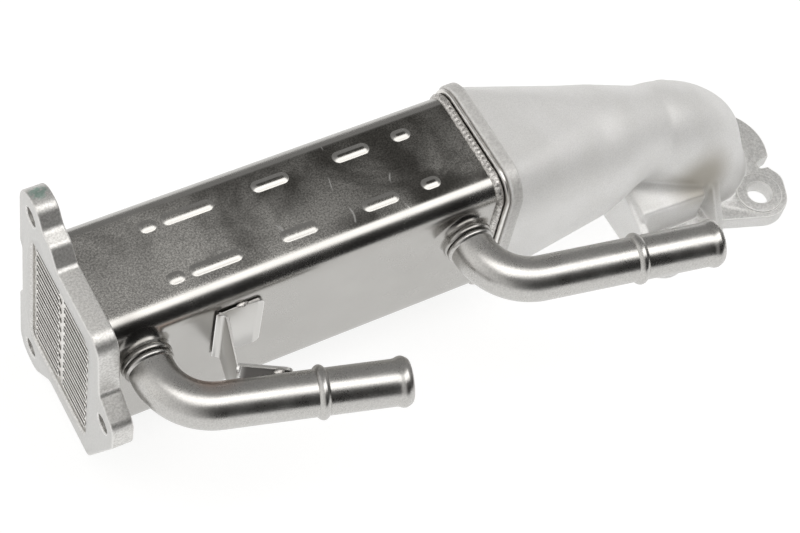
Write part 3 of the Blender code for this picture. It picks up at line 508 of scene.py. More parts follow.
def shell_finish():
    """Rolled stainless sheet: even on the sides; the flat of the top is speckled and carries painted shade
    that darkens it towards the outlet end and the back, over a cloudy mottle.
    """
    look = Finish("shell_steel_look")
    place = look.split(look.place)
    top = look.spread(look.split(look.normal)[2], 0.975, 0.997)
    clouds = look.noise(30.0, 3.0, 0.6, distortion=0.3)
    speckle = look.noise(1300.0, 2.0, 0.75)
    fine = look.noise(3800.0, 1.0, 0.6)
    # painted shade: the top grows darker towards the outlet end and towards the back, with a cloudy mottle
    # added
    far_shade = look.spread(place[0], 5.0 * MM, 150.0 * MM)
    back = look.spread(place[1], -12.0 * MM, 24.0 * MM)
    top_shade_and_mottle = look.math("ADD", look.math("MULTIPLY", far_shade, 0.72), look.math("MULTIPLY", back, 0.25))
    top_shade_and_mottle = look.math("ADD", top_shade_and_mottle, look.spread(clouds, 0.32, 0.68, 0.22, -0.22))
    top_shade_colour = look.between(top_shade_and_mottle, 0.0, 1.0, (0.72, 0.704, 0.67), (0.12, 0.115, 0.105))
    grain = look.between(speckle, 0.3, 0.72, (0.5, 0.5, 0.5), (1.35, 1.35, 1.35))
    shaded_top = look.mix(0.85, top_shade_colour, grain, "MULTIPLY")
    side = look.mix(look.noise(60.0, 3.0), (0.43, 0.42, 0.402), (0.50, 0.49, 0.472))
    lines = look.noise(260.0, 2.0, 0.5, look.stretched((0.03, 1.0, 1.0)))
    scratch = look.node("ShaderNodeTexWave", wave_type="RINGS", rings_direction="SPHERICAL")
    look.feed(scratch.inputs["Vector"], look.stretched((1.0, 1.3, 1.0), (0.0, 0.0, 0.7)))
    scratch.inputs["Scale"].default_value = 9.0
    scratch.inputs["Distortion"].default_value = 6.0
    scratch.inputs["Detail"].default_value = 1.0
    scratch.inputs["Detail Scale"].default_value = 2.0
    patch = look.spread(look.noise(70.0, 1.0), 0.6, 0.68)
    thin = look.math("MULTIPLY", look.spread(scratch.outputs["Fac"], 0.9975, 0.9998), patch)
    thin = look.math("MULTIPLY", thin, top)
    # the top face takes the painted-shade colour, the sides keep their own sheet colour
    colour = look.mix(top, side, shaded_top)
    # a near-black patch, broken up by the clouds, on the corner just above each neck
    for x, z, *_ in (INLET_PIPE, OUTLET_PIPE):
        spot = look.ball((x - 3.5, FRONT_Y, z + 11.5), 7.0, 4.5)
        dark_patch_above_neck = look.math("MULTIPLY", spot, look.spread(clouds, 0.3, 0.6, 0.5, 0.9))
        colour = look.mix(dark_patch_above_neck, colour, (0.13, 0.12, 0.11))
    colour = look.mix(look.math("MULTIPLY", thin, 0.7), colour, (0.95, 0.94, 0.92))
    rough = look.layered(clouds, 0.3, 0.7, 0.19, 0.25, speckle, 0.07)
    look.bump((lines, 0.003), (fine, 0.005), (thin, -0.01))
    return look.coat(colour, rough)


def flange_finish():
    """Satin machined faces and a grainy rim, with a dab of green paint on the top ear."""
    look = Finish("flange_steel_look")
    facing = look.math("ABSOLUTE", look.split(look.normal)[0])
    face = look.spread(facing, 0.7, 0.95)
    grain = look.noise(900.0, 3.0, 0.7)
    rim_noise = look.noise(1100.0, 3.0, 0.7)
    rim = look.between(rim_noise, 0.3, 0.7, (0.58, 0.57, 0.55), (0.84, 0.83, 0.81))
    faces = look.between(grain, 0.3, 0.7, (0.54, 0.535, 0.52), (0.63, 0.625, 0.61))
    colour = look.mix(face, rim, faces)
    # painted highlight: outer edges turned near-white
    colour = look.mix(look.edge_highlight_mask(0.5), colour, (0.95, 0.945, 0.93))
    dab = look.math("MULTIPLY", look.ball((4.4, 29.5, 62.0), 3.4, 1.4),
                    look.spread(look.noise(500.0, 2.0), 0.32, 0.5))
    colour = look.mix(look.math("MULTIPLY", dab, 0.5), colour, (0.22, 0.5, 0.4))
    rough = look.layered(face, 0.0, 1.0, 0.42, 0.3, grain, 0.1)
    look.bump((rim_noise, 0.012), (grain, 0.006))
    return look.coat(colour, rough)


def cast_finish():
    """Pale, sand-rough cast steel, with machined faces on the bolt flange and a turned lip."""
    look = Finish("cast_steel_look", metallic=0.3)
    across, _, height = look.split(look.place)
    level = look.spread(look.split(look.normal)[2], 0.93, 0.99)
    low = look.spread(height, (-44.0 - ORIGIN_RISE) * MM, (-47.0 - ORIGIN_RISE) * MM)
    milled = look.math("MULTIPLY", level, low)
    clouds = look.noise(45.0, 3.0, 0.5)
    pits = look.noise(700.0, 3.0, 0.7)
    sand = look.noise(1900.0, 2.0, 0.6)
    cast = look.between(clouds, 0.35, 0.65, (0.88, 0.875, 0.86), (0.93, 0.925, 0.915))
    sanded = look.between(sand, 0.3, 0.7, (0.86, 0.86, 0.86), (1.06, 1.06, 1.06))
    cast = look.mix(0.6, cast, sanded, "MULTIPLY")
    cutter = look.noise(900.0, 3.0, 0.75)
    machined = look.between(cutter, 0.3, 0.7, (0.5, 0.495, 0.485), (0.74, 0.735, 0.72))
    # painted shade: a brownish dark patch in the hollow under the elbow, by the gusset and the web
    saddle_shade = look.math("MULTIPLY", look.ball((303.0, -25.0, -25.0), 13.0, 9.0), 0.85)
    cast = look.mix(saddle_shade, cast, (0.4, 0.37, 0.31))
    colour = look.mix(milled, cast, machined)
    lip = look.spread(across, (LIP_END + 0.1) * MM, (LIP_END - 0.2) * MM)
    turned = look.between(cutter, 0.3, 0.7, (0.58, 0.57, 0.555), (0.76, 0.75, 0.73))
    colour = look.mix(lip, colour, turned)
    # painted highlight: outer edges turned near-white
    colour = look.mix(look.edge_highlight_mask(0.7), colour, (0.95, 0.945, 0.93))
    rough = look.layered(milled, 0.0, 1.0, 0.42, 0.34, pits, 0.12)
    look.bump((pits, 0.018), (sand, 0.01))
    return look.coat(colour, rough)


def pipe_finish():
    """Drawn tube, almost polished, with a heat tint inside the bend by the bracket."""
    look = Finish("pipe_steel_look")
    clouds = look.noise(90.0, 3.0, 0.5)
    fine = look.noise(1500.0, 2.0, 0.6)
    colour = look.mix(clouds, (0.53, 0.52, 0.5), (0.62, 0.61, 0.592))
    grain = look.between(fine, 0.3, 0.7, (0.74, 0.74, 0.74), (1.08, 1.08, 1.08))
    colour = look.mix(0.6, colour, grain, "MULTIPLY")
    spot = look.ball((42.0, -52.0, 27.0), 9.0, 5.0)
    tint = look.math("MULTIPLY", spot, look.spread(clouds, 0.3, 0.6, 0.4, 0.8))
    colour = look.mix(tint, colour, (0.62, 0.45, 0.38))
    rough = look.layered(clouds, 0.3, 0.7, 0.23, 0.3, fine, 0.07)
    look.bump((look.noise(180.0, 2.0, 0.5), 0.02), (fine, 0.008))
    return look.coat(colour, rough)


def sheet_finish():
    """Plain rolled sheet of the bracket, with painted shade turning near-black the face of its foot that
    fronts the pipe.
    """
    look = Finish("bracket_steel_look")
    clouds = look.noise(80.0, 3.0, 0.5)
    fine = look.noise(1200.0, 2.0, 0.6)
    colour = look.mix(clouds, (0.60, 0.59, 0.57), (0.68, 0.67, 0.65))
    away = look.split(look.place)[1]
    # painted shade on the face of the foot that fronts the pipe
    foot = look.math("MULTIPLY", look.spread(look.split(look.normal)[1], -0.5, -0.85),
                     look.spread(away, -50.0 * MM, -53.0 * MM))
    colour = look.mix(foot, colour, (0.07, 0.065, 0.06))
    # painted highlight: outer edges turned near-white
    colour = look.mix(look.edge_highlight_mask(0.4), colour, (0.94, 0.935, 0.92))
    rough = look.layered(clouds, 0.3, 0.7, 0.26, 0.34, fine, 0.08)
    look.bump((fine, 0.006))
    return look.coat(colour, rough)


def tube_finish(name, shade_from=None):
    """Brazed thin stainless of tubes and header plates, with painted shade turning it near-black from one
    X place on if that is given.
    """
    look = Finish(name)
    clouds = look.noise(160.0, 3.0, 0.6)
    fine = look.noise(1400.0, 2.0, 0.6)
    colour = look.between(clouds, 0.35, 0.65, (0.72, 0.70, 0.67), (0.86, 0.845, 0.82))
    # painted highlight: outer edges turned near-white
    colour = look.mix(look.edge_highlight_mask(0.35), colour, (0.95, 0.94, 0.92))
    if shade_from is not None:
        # painted shade inside the tubes, past their rims
        deep = look.spread(look.split(look.place)[0], shade_from * MM, (shade_from + 0.35) * MM)
        colour = look.mix(deep, colour, (0.07, 0.065, 0.06))
    rough = look.layered(clouds, 0.3, 0.7, 0.24, 0.36, fine, 0.1)
    look.bump((look.noise(420.0, 2.0, 0.6), 0.03), (fine, 0.01))
    return look.coat(colour, rough)


def weld_finish():
    """Rough weld metal."""
    look = Finish("weld_metal_look")
    lumps = look.noise(1200.0, 3.0, 0.75)
    fine = look.noise(2400.0, 2.0, 0.7)
    colour = look.between(lumps, 0.38, 0.62, (0.36, 0.345, 0.33), (0.82, 0.80, 0.77))
    rough = look.spread(fine, 0.3, 0.7, 0.3, 0.5)
    look.bump((lumps, 0.13), (fine, 0.04))
    return look.coat(colour, rough)


def rib_height(x, y):
    """How far the pressed ribs lift the top of the shell."""
    lift = np.zeros(np.broadcast(x, y).shape)
    round_end = RIB_HALF - 0.8
    for row in RIB_ROWS:
        for start, end in RIB_SPANS:
            nearest = np.clip(x, start + round_end, end - round_end)
            away = np.hypot(x - nearest, y - row)
            share = np.clip(1 - (away / RIB_HALF) ** 2, 0.0, 1.0)
            lift = np.maximum(lift, RIB_RISE * share ** 1.15)
    return lift


def shell_outline():
    """Points (y, z) round the shell, close together where the ribs run."""
    level = set(np.round(np.arange(-FLAT_Y + 1.25, FLAT_Y - 0.6, 1.25), 3))
    for row in RIB_ROWS:
        level = {y for y in level if abs(y - row) > RIB_REACH}
        level |= set(np.round(np.arange(row - RIB_REACH, row + RIB_REACH + 0.01, 0.3), 3))
    corner = rounded_rect(SHELL_WIDTH, SHELL_HEIGHT, SHELL_RADIUS)
    upright = np.arange(-FLAT_Z + 2.5, FLAT_Z - 1.0, 2.5)
    across = np.arange(-FLAT_Y + 2.5, FLAT_Y - 1.0, 2.5)
    count = CORNER_STEPS + 1
    path = corner[:count]
    path += [(y, SHELL_HEIGHT / 2) for y in sorted(level, reverse=True)]
    path += corner[count:2 * count]
    path += [(-SHELL_WIDTH / 2, z) for z in upright[::-1]]
    path += corner[2 * count:3 * count]
    path += [(y, -SHELL_HEIGHT / 2) for y in across]
    path += corner[3 * count:]
    path += [(SHELL_WIDTH / 2, z) for z in upright]
    return np.array(path)


def shell_surface_y(z):
    """Y of the pipe side of the shell at a height, round its corners too."""
    past = np.clip(np.abs(z) - FLAT_Z, 0.0, SHELL_RADIUS)
    return FRONT_Y + SHELL_RADIUS - np.sqrt(SHELL_RADIUS ** 2 - past ** 2)


def neck(x, z):
    """Pulled neck whose root runs out into the shell, also where that is round."""
    waist = NECK_RADIUS - 0.5
    root = NECK_RADIUS + NECK_ROOT
    profile = [(-0.8, root)]
    for k in range(9):
        turn = math.radians(90 * k / 8)
        profile.append((NECK_ROOT * (1 - math.cos(turn)), root - (root - waist) * math.sin(turn)))
    for k in range(11):
        share = k / 10
        profile.append((3.3 + 2.9 * share, waist + 0.6 * math.sin(math.pi * share) ** 0.6))
    spokes = np.array(circle(1.0, 72))
    rings = []
    for away, radius in profile:
        ring_height = z + radius * spokes[:, 1]
        follow = max(0.0, 1 - max(away, 0.0) / NECK_ROOT) ** 1.5
        y = FRONT_Y - away + (shell_surface_y(ring_height) - FRONT_Y) * follow
        rings.append(np.stack([x + radius * spokes[:, 0], y, ring_height], 1))
    return lofted("neck", rings)


def build_shell(finish):
    """Water jacket: fine skin with soft ribs and a slight sheet wave, and two pipe necks."""
    path = shell_outline()
    places = set(np.round(np.arange(SHELL_START, SHELL_END, 1.7), 3)) | {SHELL_START, SHELL_END}
    for span in RIB_SPANS:
        for end in span:
            places = {x for x in places if abs(x - end) > RIB_REACH or x in (SHELL_START, SHELL_END)}
            places |= set(np.round(np.arange(end - RIB_REACH, end + RIB_REACH + 0.01, 0.36), 3))
    top = (path[:, 1] == SHELL_HEIGHT / 2) & (np.abs(path[:, 0]) < FLAT_Y)
    fade = np.where(top, np.clip((FLAT_Y - np.abs(path[:, 0])) / 5.0, 0.0, 1.0), 0.0)
    rings = []
    for x in sorted(places):
        y, z = path[:, 0], path[:, 1]
        wave = np.sin(0.11 * x + 1.3) * np.cos(0.16 * y) + 0.6 * np.sin(0.047 * x + 0.12 * y)
        lift = np.where(top, rib_height(x, y), 0.0) + SHEET_WAVE * wave * fade
        rings.append(np.stack([np.full(len(path), x), y, z + lift], 1))
    wall = 2 * SHELL_WALL
    inner = path * ((SHELL_WIDTH - wall) / SHELL_WIDTH, (SHELL_HEIGHT - wall) / SHELL_HEIGHT)
    for x in (SHELL_END, SHELL_START):
        rings.append(np.stack([np.full(len(inner), x), inner[:, 0], inner[:, 1]], 1))
    shell = lofted("shell_skin", rings, ring_closed=True)
    for x, z, *_ in (INLET_PIPE, OUTLET_PIPE):
        combine(shell, neck(x, z), "UNION")
        hole = circle(PIPE_RADIUS + 0.25, 72)
        ends = [[(x + a, y, z + b) for a, b in hole] for y in (FRONT_Y - 9.0, FRONT_Y + 3.0)]
        combine(shell, lofted("bore", ends))
    finish_piece(shell, finish, ["shell"], 32.0)


def inlet_flange_outline():
    """Face outline of the gas inlet flange, with three bolt ears, as (y, z)."""
    (top_y, top_z), (low_y, low_z), (ear_y, ear_z) = INLET_BOLTS
    ear = 11.0
    notch_y, front_y, top, low = 35.2, -35.7, 46.8, -44.1
    tip_y = ear_y - 0.84 * ear
    return filleted([
        (top_y + ear, top_z + ear, ear),
        (top_y + ear, 21.5, 0.27 * ear),
        (notch_y, 18.5, 0.27 * ear),
        (notch_y, -14.5, 0.27 * ear),
        (low_y + ear, -17.5, 0.27 * ear),
        (low_y + ear, low_z - ear, ear),
        (low_y - 0.5 * ear, low_z - ear, 0.7 * ear),
        (low_y - 1.75 * ear, low, 0.5 * ear),
        (front_y + 0.43 * ear, low - 0.07 * ear, 0.4 * ear),
        (tip_y, ear_z - 0.45 * ear, 0.7 * ear),
        (tip_y, ear_z + 0.72 * ear, 0.6 * ear),
        (front_y - 0.2 * ear, ear_z + 1.44 * ear, 0.35 * ear),
        (front_y, top, 0.8 * ear),
        (top_y - 2.2 * ear, top, 0.35 * ear),
        (top_y - 1.6 * ear, top_z + 0.24 * ear, 0.45 * ear),
        (top_y - 0.95 * ear, top_z + 0.36 * ear, 0.45 * ear),
        (top_y - 0.47 * ear, top_z + ear, 0.6 * ear),
    ])


def countersunk(place, radius, low, high, edge, stand):
    """Helper that cuts a round hole with a small chamfer at both faces."""
    wide = radius + edge + 1.0
    profile = ((low - 1.0, wide), (low + edge, radius), (high - edge, radius), (high + 1.0, wide))
    return lofted("hole", [stand(circle(size, 64, place), level) for level, size in profile])


def build_inlet_flange(finish, weld):
    """Gas inlet flange with rounded edges, a softened window and chamfered bolt holes."""
    flange = bevelled("inlet_flange_body", inlet_flange_outline(), 0.0, FLANGE_THICKNESS, 0.8, ring_x)
    width, height, radius = WINDOW
    window = lofted("window", [
        ring_x(rounded_rect(width + 2 * grow, height + 2 * grow, radius + grow), x)
        for x, grow in ((-1.0, 2.2), (0.0, 1.2), (0.4, 0.5), (1.1, 0.0), (FLANGE_THICKNESS + 1.0, 0.0))])
    combine(flange, window)
    ends = (POCKET_START, FLANGE_THICKNESS + 1.0)
    combine(flange, lofted("pocket", [shell_ring(x, 0.3) for x in ends]))
    for place in INLET_BOLTS:
        combine(flange, countersunk(place, INLET_BORE / 2, 0.0, FLANGE_THICKNESS, 0.5, ring_x))
    finish_piece(flange, finish, ["inlet_flange"])
    profile = ((-0.6, -0.2), (-0.6, 0.9), (0.15, 0.75), (0.5, 0.45), (0.75, 0.05), (0.75, -0.2))
    rings = [shell_ring(FLANGE_THICKNESS + away, grow) for away, grow in profile]
    seam = lofted("inlet_seam", rings, ring_closed=True)
    finish_piece(seam, weld, angle=60.0)


def tube_places():
    """Centre (y, z) of each gas tube."""
    middle = (TUBE_ROWS - 1) / 2
    return [(y, (row - middle) * TUBE_PITCH) for y in (-TUBE_Y, TUBE_Y) for row in range(TUBE_ROWS)]


def tube_body(name, place, profile, ring_closed=False):
    """Body on a gas tube's line, from X places and how far its outline is grown at each."""
    rings = []
    for x, grow in profile:
        outline = stadium(TUBE_WIDTH + 2 * grow, TUBE_HEIGHT + 2 * grow)
        rings.append(ring_x([(place[0] + a, place[1] + b) for a, b in outline], x))
    return lofted(name, rings, ring_closed)


def build_tubes(gas_finish, finish):
    """Flat gas tubes with rounded rims, and the plate that they are brazed into."""
    rim = ((0.25, 0.0), (0.07, -0.07), (0.0, -0.25), (0.07, -0.43), (0.25, -TUBE_WALL))
    profile = [(TUBE_END, 0.0)]
    profile += [(TUBE_START + back, grow) for back, grow in rim]
    profile.append((TUBE_END, -TUBE_WALL))
    tubes = [tube_body("gas_tube_bundle", place, profile, True) for place in tube_places()]
    nodes = ["gas_tube_%02d" % (number + 1) for number in range(len(tubes))]
    finish_piece(joined(tubes), gas_finish, nodes, 50.0)
    end = PLATE_START + PLATE_THICKNESS
    width, height, radius = PLATE_OUTLINE
    plate = lofted("inlet_header", [
        ring_x(rounded_rect(width - 2 * trim, height - 2 * trim, radius - trim), x)
        for x, trim in ((PLATE_START, 0.4), (PLATE_START + 0.4, 0.0), (end, 0.0))])
    profile = ((PLATE_START - 0.5, 0.7), (PLATE_START + 0.35, 0.02), (end + 1.0, 0.02))
    slots = [tube_body("slot", place, profile) for place in tube_places()]
    combine(plate, joined(slots))
    finish_piece(plate, finish, ["inlet_header_plate"])


def build_weld(finish):
    """Lumpy weld bead round the shell at the outlet header plate."""
    outline = np.array(rounded_rect(SHELL_WIDTH, SHELL_HEIGHT, SHELL_RADIUS))
    outline = np.vstack([outline, outline[:1]])
    run = np.concatenate([[0.0], np.cumsum(np.linalg.norm(np.diff(outline, axis=0), axis=1))])
    at = np.arange(WELD_STEPS) / WELD_STEPS * run[-1]
    base = np.stack([np.interp(at, run, outline[:, 0]), np.interp(at, run, outline[:, 1])], 1)
    along = np.roll(base, -1, 0) - np.roll(base, 1, 0)
    along /= np.linalg.norm(along, axis=1)[:, None]
    out = np.stack([along[:, 1], -along[:, 0]], 1)
    rng = np.random.default_rng(4)
    loose = np.tile(rng.uniform(-1.0, 1.0, WELD_STEPS), 3)
    lumps = np.convolve(loose, np.ones(5) / 5, "same")[WELD_STEPS:2 * WELD_STEPS]
    profile = ((0.0, -0.3), (0.0, 0.15), (0.12, 0.75), (0.3, 1.2), (0.5, 1.42),
               (0.7, 1.3), (0.88, 0.95), (1.0, 0.5), (1.0, -0.3))
    rings = []
    for share, rise in profile:
        ripple = 0.16 * np.sin(at / 1.15 * math.pi + 2.2 * share) + 0.3 * lumps
        body = math.sin(math.pi * min(1.0, share + 0.12)) if rise > 0 else 0.0
        grow = rise + ripple * body
        wander = 0.35 * lumps * (share < 0.2)
        edge = SHELL_END - WELD_WIDTH + WELD_WIDTH * share + wander
        points = base + out * grow[:, None]
        rings.append(np.stack([edge, points[:, 0], points[:, 1]], 1))
    bead = lofted("weld_bead", rings, ring_closed=True)
    finish_piece(bead, finish, ["outlet_weld_bead"], 60.0)


def build_header_rim(finish):
    """Rounded edge of the outlet header plate, seen between the weld bead and the casting."""
    profile = ((0.3, 0.6), (0.3, 2.0), (0.5, 2.35), (0.85, 2.5),
               (1.3, 2.5), (1.65, 2.35), (1.9, 2.0), (1.9, 0.6))
    rings = [shell_ring(SHELL_END + away, grow) for away, grow in profile]
    rim = lofted("outlet_header_rim", rings, ring_closed=True)
    finish_piece(rim, finish, angle=50.0)


def bend_path(x, z, lean):
    """Centre points and directions round the bend of a coolant pipe."""
    along = Vector((math.cos(lean), -math.sin(lean), 0))
    turn = Vector((0, -1, 0)).angle(along)
    start = Vector((x, PIPE_CORNER_Y, z)) + Vector((0, PIPE_BEND * math.tan(turn / 2), 0))
    centre = start + Vector((PIPE_BEND, 0, 0))
    path = []
    for i in range(29):
        angle = turn * i / 28
        point = centre + PIPE_BEND * Vector((-math.cos(angle), -math.sin(angle), 0))
        path.append((point, Vector((math.sin(angle), -math.cos(angle), 0))))
    return path


def build_pipe(name, node, x, z, lean, bead, reach, finish):
    """Bent pipe with a seat ring, a rolled stop bead and a hose barb."""
    lean = math.radians(lean)
    along = Vector((math.cos(lean), -math.sin(lean), 0))
    corner = Vector((x, PIPE_CORNER_Y, z))
    bend = bend_path(x, z, lean)
    out = Vector((0, -1, 0))
    seat = FRONT_Y - NECK_LENGTH - 0.1
    inner_end = Vector((x, PIPE_INNER_Y, z))
    rings = [(inner_end, out, PIPE_RADIUS)]
    for k in range(11):
        share = k / 10
        rise = SEAT_RISE * math.sin(math.pi * share) ** 0.7
        rings.append((Vector((x, seat - SEAT_LENGTH * share, z)), out, PIPE_RADIUS + rise))
    rings += [(point, way, PIPE_RADIUS) for point, way in bend]
    for k in range(-10, 11):
        share = k / 10
        rise = BEAD_RISE * math.cos(math.pi / 2 * share) ** 0.8 if abs(share) < 1 else 0.0
        rings.append((corner + along * (bead + BEAD_HALF * share), along, PIPE_RADIUS + rise))
    backs = [6.5 - 0.5 * k for k in range(14)]
    for back, rise in zip(backs, np.interp(backs, BARB_PLACES, BARB_RISES)):
        rings.append((corner + along * (reach - back), along, PIPE_RADIUS + float(rise)))
    bore = PIPE_RADIUS - PIPE_WALL
    rings.append((corner + along * reach, along, bore + 0.35))
    rings.append((corner + along * (reach - 0.4), along, bore))
    rings += [(point, way, bore) for point, way in reversed(bend)]
    rings.append((inner_end, out, bore))
    up = Vector((0, 0, 1))
    skins = []
    for point, way, radius in rings:
        across = way.cross(up)
        skins.append([point + across * a + up * b for a, b in circle(radius, 64)])
    finish_piece(lofted(name, skins, ring_closed=True), finish, [node], 50.0)


def bracket_line():
    """Points (x, y) along the middle of the bracket's sheet, from its tab to its foot."""
    x, _, lean, _, _ = INLET_PIPE
    lean = math.radians(lean)
    along = Vector((math.cos(lean), -math.sin(lean)))
    normal = Vector((-along.y, along.x))
    web_x = x + BRACKET_AWAY + BRACKET_HALF
    tab_y = FRONT_Y - BRACKET_GAP - BRACKET_HALF
    foot_line = Vector((x, PIPE_CORNER_Y)) + normal * (PIPE_RADIUS + BRACKET_GAP + BRACKET_HALF)
    foot_y = foot_line.y + (web_x - foot_line.x) * along.y / along.x
    tab_end = Vector((web_x + BRACKET_TAB, tab_y))
    inner = Vector((web_x, tab_y))
    outer = Vector((web_x, foot_y))
    foot_end = outer + along * BRACKET_FOOT
    line = [tab_end]
    for here, back, ahead in ((inner, tab_end, outer), (outer, inner, foot_end)):
        into = (back - here).normalized()
        onward = (ahead - here).normalized()
        angle = into.angle(onward) / 2
        centre = here + (into + onward).normalized() * (BRACKET_FOLD / math.sin(angle))
        first = here + into * (BRACKET_FOLD / math.tan(angle)) - centre
        last = here + onward * (BRACKET_FOLD / math.tan(angle)) - centre
        turn = -first.angle_signed(last)
        line += [centre + Matrix.Rotation(-turn * k / 9, 2) @ first for k in range(10)]
    line.append(foot_end)
    return line


def build_bracket(finish, weld):
    """Bent sheet bracket with rounded ends and a sloping top edge, and its weld blobs."""
    line = bracket_line()
    run = np.concatenate([[0.0], np.cumsum([(b - a).length for a, b in zip(line, line[1:])])])
    total = float(run[-1])

    def spot_at(place):
        return Vector([np.interp(place, run, [point[axis] for point in line]) for axis in (0, 1)])

    level = INLET_PIPE[1]
    low, high, foot_high = level - BRACKET_BELOW, level + BRACKET_ABOVE, level + BRACKET_FOOT_ABOVE
    ends = [BRACKET_ROUND * (1 - math.cos(math.radians(9 * k))) for k in range(11)]
    places = sorted(set(ends + [total - end for end in ends] + [float(r) for r in run[1:-1]]))
    rings = []
    for place in places:
        point = spot_at(place)
        way = (spot_at(place + 0.2) - spot_at(place - 0.2)).normalized()
        side = Vector((-way.y, way.x))
        short = max(0.0, BRACKET_ROUND - min(place, total - place))
        trim = BRACKET_ROUND - math.sqrt(max(0.0, BRACKET_ROUND ** 2 - short ** 2))
        top = float(np.interp(point.y, BRACKET_SLOPE_Y, (foot_high, high))) - trim
        foot = low + trim
        half, slim = BRACKET_HALF, BRACKET_HALF - BRACKET_EDGE
        section = ((-half, foot + BRACKET_EDGE), (-slim, foot), (slim, foot), (half, foot + BRACKET_EDGE),
                   (half, top - BRACKET_EDGE), (slim, top), (-slim, top), (-half, top - BRACKET_EDGE))
        rings.append([(*(point + side * off), height) for off, height in section])
    finish_piece(lofted("bracket_sheet", rings), finish, ["support_bracket"], 40.0)
    tab_x = line[0].x
    foot_x, foot_y = line[-1]
    blobs = [
        blob((tab_x - 9.3, FRONT_Y - 0.9, high + 0.1), (2.3, 1.1, 0.9), 1),
        blob((foot_x - 6.1, foot_y + 0.9, foot_high + 0.2), (2.3, 1.7, 1.2), 2),
        blob((foot_x - 1.0, foot_y - 1.6, level - 4.5), (2.4, 1.4, 2.2), 3),
    ]
    finish_piece(joined(blobs), weld, angle=60.0)


def blob(centre, size, seed):
    """Small uneven lump of weld metal."""
    rng = np.random.default_rng(seed)
    phases = rng.uniform(0.0, 6.28, 4)
    rings = []
    for i in range(1, 16):
        polar = math.pi * i / 16
        ring = []
        for j in range(28):
            turn = 2 * math.pi * j / 28
            swell = 1.0 + 0.1 * math.sin(3 * turn + phases[0] + polar)
            swell += 0.08 * math.sin(5 * polar + phases[1])
            ring.append((
                centre[0] + size[0] * swell * math.cos(polar),
                centre[1] + size[1] * swell * math.sin(polar) * math.cos(turn),
                centre[2] + size[2] * swell * math.sin(polar) * math.sin(turn)))
        rings.append(ring)
    return lofted("bracket_welds", rings)


def duct_rings(wall, start, end_z):
    """Sections of the gas duct: rounded box, cone, then a bend down to the flange."""
    box = rounded_rect(CONE[0] - 2 * wall, CONE[1] - 2 * wall, CONE[2] - wall)
    middle_x, middle_z, middle_radius = CONE_MIDDLE
    middle = even_round(middle_radius - wall)
    rings = [ring_x(box, start)]
    for i in range(13):
        share = i / 12
        x = LIP_END + (middle_x - LIP_END) * share
        rings.append(ring_x(blend(box, middle, share), x, middle_z * share))
    elbow_x, elbow_z, elbow_radius = ELBOW_START
    centre = Vector((elbow_x, 0, elbow_z - ELBOW_BEND))
    port = PORT_RADIUS + CAST_WALL - wall
    for i in range(29):
        turn = LAST_TURN * i / 28
        if turn < WAIST_TURN:
            ease = 1 - (1 - turn / WAIST_TURN) ** 1.6
            radius = elbow_radius + (WAIST_RADIUS - elbow_radius) * ease - wall
        else:
            share = (turn - WAIST_TURN) / (LAST_TURN - WAIST_TURN)
            radius = WAIST_RADIUS - wall
            radius += (port - radius) * 0.8 * share ** 0.85
        outward = Vector((math.sin(math.radians(turn)), 0, math.cos(math.radians(turn))))
        point = centre + outward * ELBOW_BEND
        rings.append([point + Vector((0, a, 0)) + outward * b for a, b in even_round(radius)])
    rings.append([(PORT_X + b, a, end_z) for a, b in even_round(port)])
    return rings


def cove_section(x, foot_z, top_y, top_z):
    """Section at one X place of the hollow blend between the pedestal and the duct."""
    curve = []
    for k in range(10):
        turn = math.radians(10 * k)
        y = COVE_Y + (top_y - COVE_Y) * math.sin(turn)
        curve.append((y, foot_z + (top_z - foot_z) * (1 - math.cos(turn))))
    return ring_x([(0.0, COVE_LOW_Z), (COVE_Y, COVE_LOW_Z)] + curve + [(0.0, top_z)], x)


